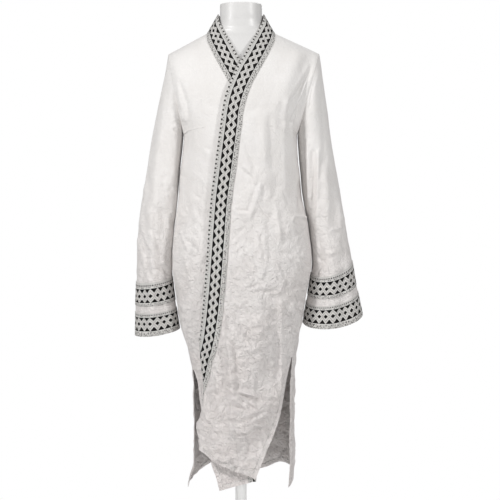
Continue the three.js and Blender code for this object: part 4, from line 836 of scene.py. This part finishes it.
# %% A grid through points, and an object from a bmesh
def grid_through(points, uv=None):
    """A bmesh grid moved on to points in millimetres, with a texture coordinate for each if there are any."""
    rows, columns = points.shape[:2]
    bm = bmesh.new()
    bmesh.ops.create_grid(bm, x_segments=columns - 1, y_segments=rows - 1, size=1, calc_uvs=True)
    if uv is not None:
        layer = bm.loops.layers.uv.active or bm.loops.layers.uv.new("UVMap")
    place = {}
    for vertex in bm.verts:
        row, column = (1 - vertex.co.y) / 2 * (rows - 1), (vertex.co.x + 1) / 2 * (columns - 1)
        place[vertex] = round(row), round(column)
    if uv is not None:
        for face in bm.faces:
            for loop in face.loops:
                loop[layer].uv = uv[place[loop.vert]]
    for vertex, at in place.items():
        vertex.co = points[at] * MM
    return bm


def object_from(bm, name, rounded=True):
    for face in bm.faces:
        face.smooth = rounded
    mesh = bpy.data.meshes.new(name)
    bm.to_mesh(mesh)
    bm.free()
    piece = bpy.data.objects.new(name, mesh)
    bpy.context.scene.collection.objects.link(piece)
    return piece


def settled(piece, sharp=55):
    """Makes the modifiers' result the piece's own mesh, with its hard edges marked."""
    graph = bpy.context.evaluated_depsgraph_get()
    mesh = bpy.data.meshes.new_from_object(piece.evaluated_get(graph))
    piece.modifiers.clear()
    piece.data = mesh
    mesh.set_sharp_from_angle(angle=math.radians(sharp))
    triangles = sum(len(p.vertices) - 2 for p in mesh.polygons)
    print(f"{piece.name}: {len(mesh.polygons)} faces, {triangles} triangles")
    return piece


# %% Build a sheet of cloth
def sheet(name, points, wall, sign, uv, closed=False):
    """A thin wall through a grid of points; sign is 1 where its rows run to the right seen from outside."""
    bm = grid_through(points, uv)
    if closed:
        bmesh.ops.remove_doubles(bm, verts=bm.verts, dist=1e-5)
    if sign < 0:
        bmesh.ops.reverse_faces(bm, faces=bm.faces)
    piece = object_from(bm, name)
    solidify = piece.modifiers.new("wall", "SOLIDIFY")
    solidify.thickness, solidify.offset = wall * MM, 0
    return settled(piece)


LINEN_WALL, BRAID_WALL = 1.0, 1.1
BRAID_LIFT = LINEN_WALL / 2 + 0.32 + BRAID_WALL / 2

# %% The fronts' grids
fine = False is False
UP, DOWN = (84, 336) if fine else (42, 140)
FRONT_COLUMNS = {"left": 100, "right": 88} if fine else {"left": 56, "right": 48}
SIGN = {"left": -1, "right": 1}
UNDER_BRAID = 0.22  # how freely cloth can crease under a braid
CRUMPLE_SEED = {"front_left": 11, "front_right": 23, "back": 37, "sleeve_left": 53, "sleeve_right": 71}
CREASE_SEED = {"left": 101, "right": 103, "behind": 105, "back": 107, "wrapped": 109}
SLEEVE_SEEDS = 111, 113  # in front and behind
front_at = front_rows(UP, DOWN)
fronts, front_braid_grids = {}, {}
for side, sign in SIGN.items():
    flat, share = front_grid(side, front_at, cloth_stations(FRONT_COLUMNS[side]))
    across, down = lengths_along(flat, 1), lengths_along(flat, 0)
    on_braid = smooth((share - 0.9) / 0.1)
    held = smooth(across / 24) * smooth((down - 4) / 26) * mix(1, UNDER_BRAID, on_braid)
    on_slit = 0.3 * (1 - on_braid) * smooth(across / 24 + 0.2)
    held = np.where(down > 700, np.maximum(held, on_slit), held)
    if side == "right":
        covered = smooth((flat[..., 0] + 95) / 40) * smooth((flat[..., 2] - 330) / 30)
        held = held * mix(1, 0.25, covered)
    node = f"front_{side}"
    seen = CREASES[node] + small_creases((-180, 280), (180, 1330), 330, CREASE_SEED[side])
    behind = small_creases((-110, 280), (0, 620), 40, CREASE_SEED["behind"])
    lifted = creased(flat, sign, False, seen, behind, CRUMPLE_SEED[node], held)
    fronts[side] = clear_of_form(lifted, OFF_FORM)
    at_braid = np.linspace(1, 2, 25)
    front_braid_grids[side] = np.array([
        np.stack([np.interp(at_braid, q, row[:, k]) for k in range(3)], -1)
        for q, row in zip(share, fronts[side])
    ])

# %% The back, the neck band and the sleeves
back_at = front_rows(70, 250) if fine else front_rows(40, 120)
flat_back = back_grid(back_at, np.linspace(0, BACK_SPANS, 125 if fine else 70))
across, down = lengths_along(flat_back, 1), lengths_along(flat_back, 0)
from_side = np.minimum(across, across[:, -1:] - across)
held = smooth(from_side / 18) * smooth((down - 4) / 26)
held = np.where(down > 800, np.maximum(held, 0.35), held)
seen = CREASES["back"] + small_creases((-180, 280), (180, 1330), 330, CREASE_SEED["back"])
wrapped = small_creases((-180, 280), (180, 1100), 160, CREASE_SEED["wrapped"])
back = clear_of_form(creased(flat_back, 1, False, wrapped, seen, CRUMPLE_SEED["back"], held), OFF_FORM)
band = neckband_grid(17, 81)

RINGS = even_runs((0, 1, 10), (1, 10, 136), (10, 11, 18), (11, 12, 6), (12, 13, 19))
SLEEVE_CORNERS = {"left": ((150, 650), (300, 1300)), "right": ((-270, 650), (-150, 1300))}
SLEEVE_CRUMPLED = 0.45  # less than the body, which has been sat on
sleeves = {}
for side, sign in SIGN.items():
    flat = sleeve_grid(side, RINGS, 133 if fine else 81)
    ring = RINGS[:, None]
    on_braid = smooth((ring - 9.85) / 0.15) * np.where((ring > 11.1) & (ring < 11.9), 0.7, 1)
    held = smooth((ring - 0.15) / 0.8) * mix(1, UNDER_BRAID, on_braid) * np.ones(flat.shape[:2])
    turn = np.linspace(0, 2 * np.pi, flat.shape[1])
    held = held * (1 - 0.9 * np.exp(-(((turn - np.pi) / 0.55) ** 2)))
    held[:, -1] = held[:, 0]
    node = f"sleeve_{side}"
    front_ones, back_ones = (
        CREASES[name] + small_creases(*SLEEVE_CORNERS[side], 70, seed)
        for name, seed in zip((node, f"{node}_back"), SLEEVE_SEEDS)
    )
    lifted = creased(flat, sign, True, front_ones, back_ones, CRUMPLE_SEED[node], held, SLEEVE_CRUMPLED)
    lifted[:, -1] = lifted[:, 0]
    sleeves[side] = lifted


# %% [markdown]
# ## Hems, and the pieces themselves
# The slits and the lower edges are turned under 11 mm and stitched. Each sheet's texture coordinates say
# how far a point is from such an edge and where it lies along it, so the finish can show the fold, with a
# painted shadow line at its edge, and the stitches. The braids are strips of the same grids, lifted on to
# the cloth.

# %% Where the hems are
HEM = 11
NO_HEM = 400  # farther from a hem than anything on the garment that its finish marks


def hem_places(points, slit_rows, both_sides):
    """Texture coordinates in metres: how far a point is from its nearest hemmed edge, and along it."""
    across, down = lengths_along(points, 1), lengths_along(points, 0)
    to_hem = down[-1:] - down
    to_side = np.minimum(across, across[:, -1:] - across) if both_sides else across
    to_side = np.where(slit_rows[:, None], to_side, NO_HEM)
    nearer = to_side < to_hem
    return np.stack([np.where(nearer, to_side, to_hem), np.where(nearer, down, across)], -1) * MM


def no_hem(points):
    return np.stack([np.full(points.shape[:2], float(NO_HEM)), lengths_along(points, 1)], -1) * MM


# %% Cloth pieces
cloth = {}
for side, sign in SIGN.items():
    slit_rows = front_at >= ROWS_UP + SIDE_ROWS
    front, sleeve = fronts[side], sleeves[side]
    places = hem_places(front, slit_rows, False)
    cloth[f"front_{side}"] = sheet(f"linen_front_{side}", front, LINEN_WALL, sign, places)
    cloth[f"sleeve_{side}"] = sheet(f"linen_sleeve_{side}", sleeve, LINEN_WALL, sign, no_hem(sleeve), True)
places = hem_places(back, back_at >= ROWS_UP + SIDE_ROWS, True)
cloth["back"] = sheet("linen_back", back, LINEN_WALL, 1, places)
cloth["neckband"] = sheet("linen_neckband", band, LINEN_WALL, 1, no_hem(band))


# %% Braid pieces
FRONT_REPEAT, CUFF_REPEAT = 21.7, 17.8  # length of one repeat of the pattern


def braid(name, points, sign, closed=False):
    """A strip over the cloth's own grid; its texture coordinates are its place across and along it."""
    normals = normals_of(points, closed) * sign
    lifted = points + BRAID_LIFT * normals
    if name.startswith("braid_front"):
        across = np.broadcast_to(np.linspace(BRAID_WIDTH, 0, points.shape[1]), points.shape[:2])
        run = np.broadcast_to(lengths_along(points, 0).mean(axis=1, keepdims=True), points.shape[:2])
    else:
        across = np.broadcast_to(np.linspace(0, BRAID_WIDTH, points.shape[0])[:, None], points.shape[:2])
        run = np.broadcast_to(lengths_along(points, 1).mean(axis=0, keepdims=True), points.shape[:2])
        if closed:
            run = run / run[0, -1] * round(run[0, -1] / CUFF_REPEAT) * CUFF_REPEAT
    return sheet(name, lifted, BRAID_WALL, sign, np.stack([across, run], -1) * MM, closed)


braids = {}
for side, sign in SIGN.items():
    braids[f"trim_front_{side}"] = braid(f"braid_front_{side}", front_braid_grids[side], sign)
    for which, low in (("upper", 10), ("lower", 12)):
        rings = sleeves[side][(RINGS >= low - 1e-6) & (RINGS <= low + 1 + 1e-6)]
        braids[f"trim_cuff_{side}_{which}"] = braid(f"braid_cuff_{side}_{which}", rings, sign, closed=True)
braids["trim_neck"] = braid("braid_neck", band, 1)

# %% [markdown]
# ## The form and its stand
# The form is a smooth shell with a cut-off neck. A tube of level ovals gives it, from the same kind of
# table as the cloth, and the holes at the two ends are closed and bevelled.

# %% The form
def form_ring(z, angle):
    c, s = np.cos(angle), np.sin(angle)
    x = np.sign(c) * form_curves["half"](z) * np.abs(c) ** (2 / ROUNDNESS)
    reach = np.where(s < 0, form_curves["front"](z), form_curves["back"](z)) * np.abs(s) ** (2 / ROUNDNESS)
    line = np.minimum(shoulder_line(np.abs(x)), shoulder_line(-np.abs(x))) - FORM_DROP
    depth = depth_under(line, z, np.where(s < 0, FORM_SHOULDER[-1], FORM_SHOULDER[1]))
    power = mix(6.0, 16.0, smooth((z - SHOULDERS_Z) / 60))
    rounded = lesser(reach, np.maximum(depth, 0.5), power)
    y = np.where((z < FORM_NECK_Z) & (z > UNDERARM_Z) & (reach > 0.01), rounded, reach)
    return np.stack([x, np.sign(s) * y, z + 0 * x], -1)


heights = even_runs(
    (FORM_TOP_Z, NECK_FOOT_Z, 20), (NECK_FOOT_Z, SHOULDERS_Z, 60), (SHOULDERS_Z, FORM_BOTTOM_Z, 100),
)
rings = np.array([form_ring(z, np.linspace(0, 2 * np.pi, 121)) for z in heights])


def closed_tube(name, points, bevel):
    bm = grid_through(points)
    bmesh.ops.remove_doubles(bm, verts=bm.verts, dist=1e-5)
    rims = [edge for edge in bm.edges if edge.is_boundary]
    bmesh.ops.holes_fill(bm, edges=rims, sides=0)
    bmesh.ops.recalc_face_normals(bm, faces=bm.faces)
    caps = [face for face in bm.faces if len(face.verts) > 8]
    bmesh.ops.bevel(
        bm, geom=[edge for face in caps for edge in face.edges], offset=bevel * MM,
        segments=4, profile=0.5, affect="EDGES", material=-1,
    )
    return settled(object_from(bm, name), 40)


form = closed_tube("dress_form", rings, 1.2)

# %% The pole and the base
def turned(name, profile, around):
    """A round piece spun from a profile of (radius, height) points."""
    bm = bmesh.new()
    line = [bm.verts.new((radius * MM, 0, z * MM)) for radius, z in profile]
    edges = [bm.edges.new(pair) for pair in zip(line, line[1:])]
    bmesh.ops.spin(
        bm, geom=line + edges, cent=(0, 0, 0), axis=(0, 0, 1),
        angle=2 * math.pi, steps=around, use_merge=True,
    )
    bmesh.ops.remove_doubles(bm, verts=bm.verts, dist=1e-6)
    bmesh.ops.recalc_face_normals(bm, faces=bm.faces)
    return settled(object_from(bm, name), 35)


pole = turned("pole_tube", [(0, 679.6), (13.2, 679.6), (14, 678.8), (14, 12.6), (0, 12.6)], 64)
base = turned("base_plate", [
    (0, 12), (166, 12), (168.4, 11.3), (169.6, 9.9), (170, 8.4), (170, 0.8), (169.2, 0), (0, 0),
], 128)

# %% [markdown]
# ## Shader sums
# A pattern is easier to read as a sum than as a chart of boxes and wires. The small class below stands for
# one value in a material, and adds the matching Math node for each sign that is used on it.


# %% A value in a material
class Value:
    def __init__(self, finish, socket):
        self.finish, self.socket = finish, socket

    def math(self, operation, *others):
        return self.finish.node("Math", {"operation": operation}, dict(enumerate((self, *others))))

    def __add__(self, other):
        return self.math("ADD", other)

    __radd__ = __add__

    def __sub__(self, other):
        return self.math("SUBTRACT", other)

    def __rsub__(self, other):
        return self.finish.node("Math", {"operation": "SUBTRACT"}, {0: other, 1: self})

    def __mul__(self, other):
        return self.math("MULTIPLY", other)

    __rmul__ = __mul__

    def __truediv__(self, other):
        return self.math("DIVIDE", other)

    def __lt__(self, other):
        return self.math("LESS_THAN", other)

    def __gt__(self, other):
        return self.math("GREATER_THAN", other)

    def __abs__(self):
        return self.math("ABSOLUTE")

    def most(self, other):
        return self.math("MAXIMUM", other)

    def sine(self):
        return self.math("SINE")

    def away(self, period):
        """How far it is from the nearest whole number of periods."""
        return self.math("PINGPONG", period / 2)

    def ramp(self, low, high, to_low=0.0, to_high=1.0):
        """From to_low at low to to_high at high, eased and held outside."""
        settings = {"interpolation_type": "SMOOTHSTEP"}
        return self.finish.node("MapRange", settings, {0: self, 1: low, 2: high, 3: to_low, 4: to_high})


# %% A material
UV, OBJECT = 2, 3  # outputs of Texture Coordinate


class Finish:
    def __init__(self, name):
        self.material = bpy.data.materials.new(name)
        self.material.use_nodes = True
        self.tree = self.material.node_tree
        self.surface = self.tree.nodes["Principled BSDF"]

    def plug(self, value, socket):
        if isinstance(value, Value):
            self.tree.links.new(value.socket, socket)
        else:
            socket.default_value = value

    def node(self, kind, settings=None, inputs=None, output=0):
        made = self.tree.nodes.new("ShaderNode" + kind)
        for name, value in (settings or {}).items():
            setattr(made, name, value)
        for key, value in (inputs or {}).items():
            self.plug(value, made.inputs[key])
        return Value(self, made.outputs[output])

    def blend(self, factor, a, b):
        return self.node("Mix", {"data_type": "RGBA"}, {0: factor, 6: a, 7: b}, 2)

    def noise(self, place, scale, detail=2.0, roughness=0.5, distortion=0.0):
        inputs = {"Scale": scale, "Detail": detail, "Roughness": roughness, "Distortion": distortion}
        return self.node("TexNoise", {}, {"Vector": place, **inputs})

    def coordinate(self, kind):
        return self.node("TexCoord", output=kind)

    def parts(self, place):
        """The x, y and z of a place."""
        split = self.node("SeparateXYZ", {}, {0: place})
        return [Value(self, socket) for socket in split.socket.node.outputs]

    def stretched(self, place, scale):
        return self.node("VectorMath", {"operation": "MULTIPLY"}, {0: place, 1: scale})

    def bump(self, height, distance, strength=1.0, over=None):
        inputs = {"Strength": strength, "Distance": distance, "Height": height}
        if over is not None:
            inputs["Normal"] = over
        return self.node("Bump", {}, inputs)

    def set(self, **values):
        for name, value in values.items():
            self.plug(value, self.surface.inputs[name.replace("_", " ")])


# %% [markdown]
# ## Linen
# Linen is an uneven plain weave: its threads swell here and there into slubs, and the cloth keeps every
# soft crease. The finish has a faint warm mottle, a tone that is darker and pinker towards the hem, in part
# painted shade for the light that falls off downward, a fine weave with slubs both ways, and small crumples
# that are too fine for the mesh, all measured in the object's own space. Only the turned hems, with a
# painted shadow line at their edge, and their stitches follow the texture coordinates.


# %% The linen's finish
def linen_finish():
    linen = Finish("linen")
    place = linen.coordinate(OBJECT)
    mottle = linen.noise(place, 9.0, 3.0, 0.6)
    to_edge, along = [part * 1000 for part in linen.parts(linen.coordinate(UV))[:2]]
    slub_down = linen.noise(linen.stretched(place, (1400, 1400, 45)), 1.0, 1.0)
    slub_across = linen.noise(linen.stretched(place, (45, 45, 1400)), 1.0, 1.0)
    slubs = slub_down + slub_across
    height = linen.parts(place)[2]
    # Painted shade: the cloth is darker and pinker towards the hem than at the shoulders. In part this stands
    # in for the light that falls off downward.
    toward_hem = linen.blend(mottle.ramp(0.35, 0.65), (0.685, 0.632, 0.617, 1), (0.735, 0.692, 0.68, 1))
    upper_tone = linen.blend(mottle.ramp(0.35, 0.65), (0.75, 0.728, 0.712, 1), (0.79, 0.772, 0.76, 1))
    tone = linen.blend(height.ramp(0.35, 1.3), toward_hem, upper_tone)
    tone = linen.blend(slubs.ramp(0.75, 1.35, 0.0, 0.5), tone, (0.76, 0.735, 0.70, 1))
    stitch = (abs(to_edge - (HEM - 1.4)) < 0.45) * (along.away(2.8) > 0.35)
    tone = linen.blend(stitch, tone, (0.90, 0.885, 0.86, 1))
    # Painted shadow: a darker line just beyond the turned hem's edge, where the step of the cloth turned
    # under casts shade.
    tone = linen.blend(abs(to_edge - (HEM + 0.5)).ramp(0.3, 1.6, 0.22, 0.0), tone, (0.62, 0.60, 0.575, 1))
    turned_under = to_edge.ramp(HEM - 0.3, HEM + 0.9, 1.0, 0.0) - stitch * 0.5
    broad, narrow = linen.noise(place, 52.0, 3.0, 0.6, 0.8), linen.noise(place, 110.0, 2.0, 0.5, 0.5)
    crumple = abs(broad - 0.5) + abs(narrow - 0.5) * 0.5
    crumple = crumple * height.ramp(0.6, 1.15, 1.0, 0.15)
    weave = linen.bump(slubs, 0.00025, 0.35, linen.bump(turned_under, 0.0011, 1.0))
    linen.set(
        Base_Color=tone, Roughness=0.86, Normal=linen.bump(crumple, -0.014, 1.0, weave),
        Sheen_Weight=0.25, Sheen_Roughness=0.5, Specular_IOR_Level=0.3,
    )
    return linen.material


linen = linen_finish()

# %% [markdown]
# ## The braid's pattern
# The braid is 52 mm wide. From the opening edge inwards it has a row of dark dots on a pale edge, a grey
# stripe, a thin white line, a black ground with a cream lattice of crossing strands, a white cord and a
# speckled grey border. The texture coordinates of each strip are metres across and along it, so the
# pattern follows the cloth. The cuffs have a shorter repeat, smaller dots and no grey stripe.


# %% The braid's finish
def braid_finish(name, repeat, borders):
    finish = Finish(name)
    uv = finish.coordinate(UV)
    across, along = [part * 1000 for part in finish.parts(uv)[:2]]
    low, high = borders["ground"]
    middle, half = borders["middle"], borders["half"]
    x, y = abs(across - middle), along.away(repeat)
    eye_half, eye_long = borders["eye"]
    eye = (x / eye_half + y / eye_long) < 1
    wedge_from, wedge_base = borders["wedge"]
    wedge = (x - wedge_from) > ((repeat / 2 - y) * ((half - wedge_from) / wedge_base))
    ground = (across > low) * (across < high)
    black = ground * eye.most(wedge)
    strand = ((x + y) / 2.1).sine() * 0.5 + 0.5
    grey_grain = finish.noise(finish.stretched(uv, (900, 900, 900)), 1.0, 2.0)
    fleck = finish.noise(finish.stretched(uv, (330, 330, 330)), 1.0, 1.0)
    zigzag = ((across * 0.8 + along.away(5.4) * 2.0) * 1.1).sine() * 0.55 + (fleck - 0.5) * 6.0
    border = finish.blend(zigzag.ramp(-0.8, 0.05), (0.06, 0.058, 0.055, 1), (0.60, 0.585, 0.565, 1))
    cream = finish.blend(strand.ramp(0.0, 0.3), (0.42, 0.408, 0.392, 1), (0.64, 0.625, 0.60, 1))
    cream = finish.blend(fleck.ramp(0.60, 0.68), cream, (0.34, 0.33, 0.32, 1))
    colour = finish.blend(ground, border, cream)
    colour = finish.blend(black, colour, (0.008, 0.007, 0.007, 1))
    for at, width, shade in borders["lines"]:
        here = abs(across - at) < width / 2
        colour = finish.blend(here, colour, (shade, shade * 0.985, shade * 0.95, 1))
    at, radius, pitch = borders["dots"]
    edge = (across < at + 2.4) * fleck.ramp(0.5, 0.62, 1.0, 0.55)
    colour = finish.blend(edge, colour, (0.56, 0.548, 0.53, 1))
    from_dot = along.away(pitch) * along.away(pitch) + (across - at) * (across - at)
    colour = finish.blend(from_dot < radius * radius, colour, (0.03, 0.028, 0.026, 1))
    height = strand * (1 - black) * ground + (1 - black) * 0.8 + zigzag * (1 - ground) * 0.4
    finish.set(
        Base_Color=colour, Roughness=0.85, Specular_IOR_Level=0.15,
        Normal=finish.bump(grey_grain, 0.0003, 0.4, finish.bump(height, 0.0006, 0.8)),
    )
    return finish.material


# Millimetres across the braid. eye is the half width and half length of a diamond, and wedge is where the
# tips of the side triangles lie, from the middle, and the half length of their bases. A line has its place,
# width and shade, and dots have their place, radius and pitch.
FRONT_BORDERS = {
    "ground": (12.8, 41.0), "middle": 26.9, "half": 14.1, "eye": (4.8, 6.6), "wedge": (4.8, 12.4),
    "lines": [(9.6, 4.6, 0.52), (12.2, 1.0, 0.72), (41.8, 1.5, 0.62)], "dots": (2.6, 2.4, 10.85),
}
CUFF_BORDERS = {
    "ground": (12.6, 41.0), "middle": 26.8, "half": 14.2, "eye": (4.3, 5.7), "wedge": (5.6, 8.9),
    "lines": [(12.0, 1.4, 0.66), (41.8, 1.5, 0.66)], "dots": (6.4, 1.7, 5.93),
}
front_braid = braid_finish("braid_front", FRONT_REPEAT, FRONT_BORDERS)
cuff_braid = braid_finish("braid_cuff", CUFF_REPEAT, CUFF_BORDERS)

# %% [markdown]
# ## The form's shell and the painted stand
# The shell is glossy white plastic with a clear coat; the stand is satin white paint.

# %% The form's and the stand's finish
shell = Finish("white_shell")
shell_place = shell.coordinate(OBJECT)
shell_wave = shell.noise(shell_place, 14.0, 2.0)
shell.set(
    Base_Color=shell.blend(shell_wave, (0.67, 0.66, 0.65, 1), (0.72, 0.712, 0.70, 1)),
    Roughness=shell.noise(shell_place, 60.0, 3.0).ramp(0.3, 0.7, 0.36, 0.46),
    Normal=shell.bump(shell_wave, 0.0006, 0.2), Coat_Weight=0.25, Coat_Roughness=0.3,
)
paint = Finish("satin_paint")
paint_place = paint.coordinate(OBJECT)
paint_grain = paint.noise(paint_place, 900.0, 2.0)
paint.set(
    Base_Color=paint.blend(paint.noise(paint_place, 7.0), (0.80, 0.80, 0.79, 1), (0.85, 0.85, 0.84, 1)),
    Roughness=paint_grain.ramp(0.3, 0.7, 0.34, 0.46), Normal=paint.bump(paint_grain, 0.0001, 0.3),
)

# %% [markdown]
# ## Put the pieces on the body
# Each finished piece takes the place of its solid and gets its material. The flat size of each piece of
# linen is worked out and printed.

# %% Dress the solids
def finished(piece, node, material):
    piece.data.materials.clear()
    piece.data.materials.append(material)
    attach(piece, "root")
    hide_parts(node)


for node, piece in cloth.items():
    finished(piece, node, linen)
for node, piece in braids.items():
    finished(piece, node, cuff_braid if "cuff" in node else front_braid)
finished(form, "form", shell.material)
finished(pole, "pole", paint.material)
finished(base, "base", paint.material)


# %% Flat sizes of the cloth
def sheet_area(points):
    """Area of a grid of points, in square metres."""
    down, across = points[1:, :-1] - points[:-1, :-1], points[:-1, 1:] - points[:-1, :-1]
    down2, across2 = points[:-1, 1:] - points[1:, 1:], points[1:, :-1] - points[1:, 1:]
    half = np.linalg.norm(np.cross(down, across), axis=-1) + np.linalg.norm(np.cross(down2, across2), axis=-1)
    return half.sum() / 2 * MM * MM


def carried_by(node):
    """The braids that are sewn on a piece of linen."""
    own = "trim_" + {"neckband": "neck"}.get(node, node).replace("sleeve", "cuff")
    return [piece for name, piece in braids.items() if name.startswith(own)]


grids = {
    "front_left": fronts["left"], "front_right": fronts["right"], "back": back, "neckband": band,
    "sleeve_left": sleeves["left"], "sleeve_right": sleeves["right"],
}
for node, points in grids.items():
    width = lengths_along(points, 1)[:, -1].max() * MM
    length = lengths_along(points, 0)[-1].max() * MM
    print(f"{node}: area {sheet_area(points):.4f}, width {width:.3f}, length {length:.3f}")
    if node == "neckband":
        width, length = length, width
    area = min(sheet_area(points), width * length)
    carried = carried_by(node)

# %% [markdown]
# ## Floor, light and camera
# A pale floor and a white surround. The main light stands high in front on the left, where it rakes the
# creases; weaker ones fill from both sides, from the front and from behind. The camera stands 3.6 m in
# front, at the height of the hips.

# %% The stage
bm = bmesh.new()
bmesh.ops.create_circle(bm, cap_ends=True, cap_tris=False, segments=96, radius=1.3)
floor = object_from(bm, "floor", rounded=False)
pale = Finish("pale_floor")
clouds = pale.noise(pale.coordinate(OBJECT), 3.0)
pale.set(Base_Color=pale.blend(clouds, (0.88, 0.88, 0.88, 1), (0.9, 0.9, 0.9, 1)), Roughness=0.9)
floor.data.materials.append(pale.material)

world = bpy.data.worlds.new("white_room")
bpy.context.scene.world = world
world.use_nodes = True
sky = world.node_tree.nodes["Background"]
sky.inputs[0].default_value = (1, 1, 1, 1)
sky.inputs[1].default_value = 0.3
seen = world.node_tree.nodes.new("ShaderNodeBackground")
seen.inputs[0].default_value, seen.inputs[1].default_value = (1, 1, 1, 1), 1.0
path = world.node_tree.nodes.new("ShaderNodeLightPath")
either = world.node_tree.nodes.new("ShaderNodeMixShader")
for start, end in (
    (path.outputs["Is Camera Ray"], either.inputs[0]),
    (sky.outputs[0], either.inputs[1]),
    (seen.outputs[0], either.inputs[2]),
    (either.outputs[0], world.node_tree.nodes["World Output"].inputs[0]),
):
    world.node_tree.links.new(start, end)
bpy.context.scene.view_settings.view_transform = "Standard"


def soft_light(name, place, aim, size, power):
    lamp = bpy.data.lights.new(name, "AREA")
    lamp.shape, lamp.size, lamp.energy = "DISK", size, power
    stand = bpy.data.objects.new(name, lamp)
    bpy.context.scene.collection.objects.link(stand)
    stand.location = place
    direction = [a - p for a, p in zip(aim, place)]
    stand.rotation_euler = Vector(direction).to_track_quat("-Z", "Y").to_euler()


soft_light("key", (-1.9, -2.2, 3.4), (0, 0, 0.7), 0.35, 57)
soft_light("left", (-2.4, -2.3, 1.4), (0, 0, 0.7), 0.6, 28)
soft_light("right", (2.3, -2.4, 2.0), (0, 0, 0.8), 0.6, 45)
soft_light("front", (0.3, -3.6, 0.7), (0, 0, 0.8), 1.2, 9)
soft_light("rear", (0.4, 2.6, 2.6), (0, 0, 0.9), 1.6, 34)

SENSOR, CAMERA_FAR, VIEW_WIDTH = 36, 3600, 1250  # millimetres
camera = bpy.data.cameras.new("camera")
camera.lens, camera.sensor_width, camera.clip_end = SENSOR * CAMERA_FAR / VIEW_WIDTH, SENSOR, 50
viewer = bpy.data.objects.new("camera", camera)
bpy.context.scene.collection.objects.link(viewer)
viewer.location = (0.0225, -3.6, 0.8675)
viewer.rotation_euler = (math.radians(90), 0, 0)
bpy.context.scene.camera = viewer
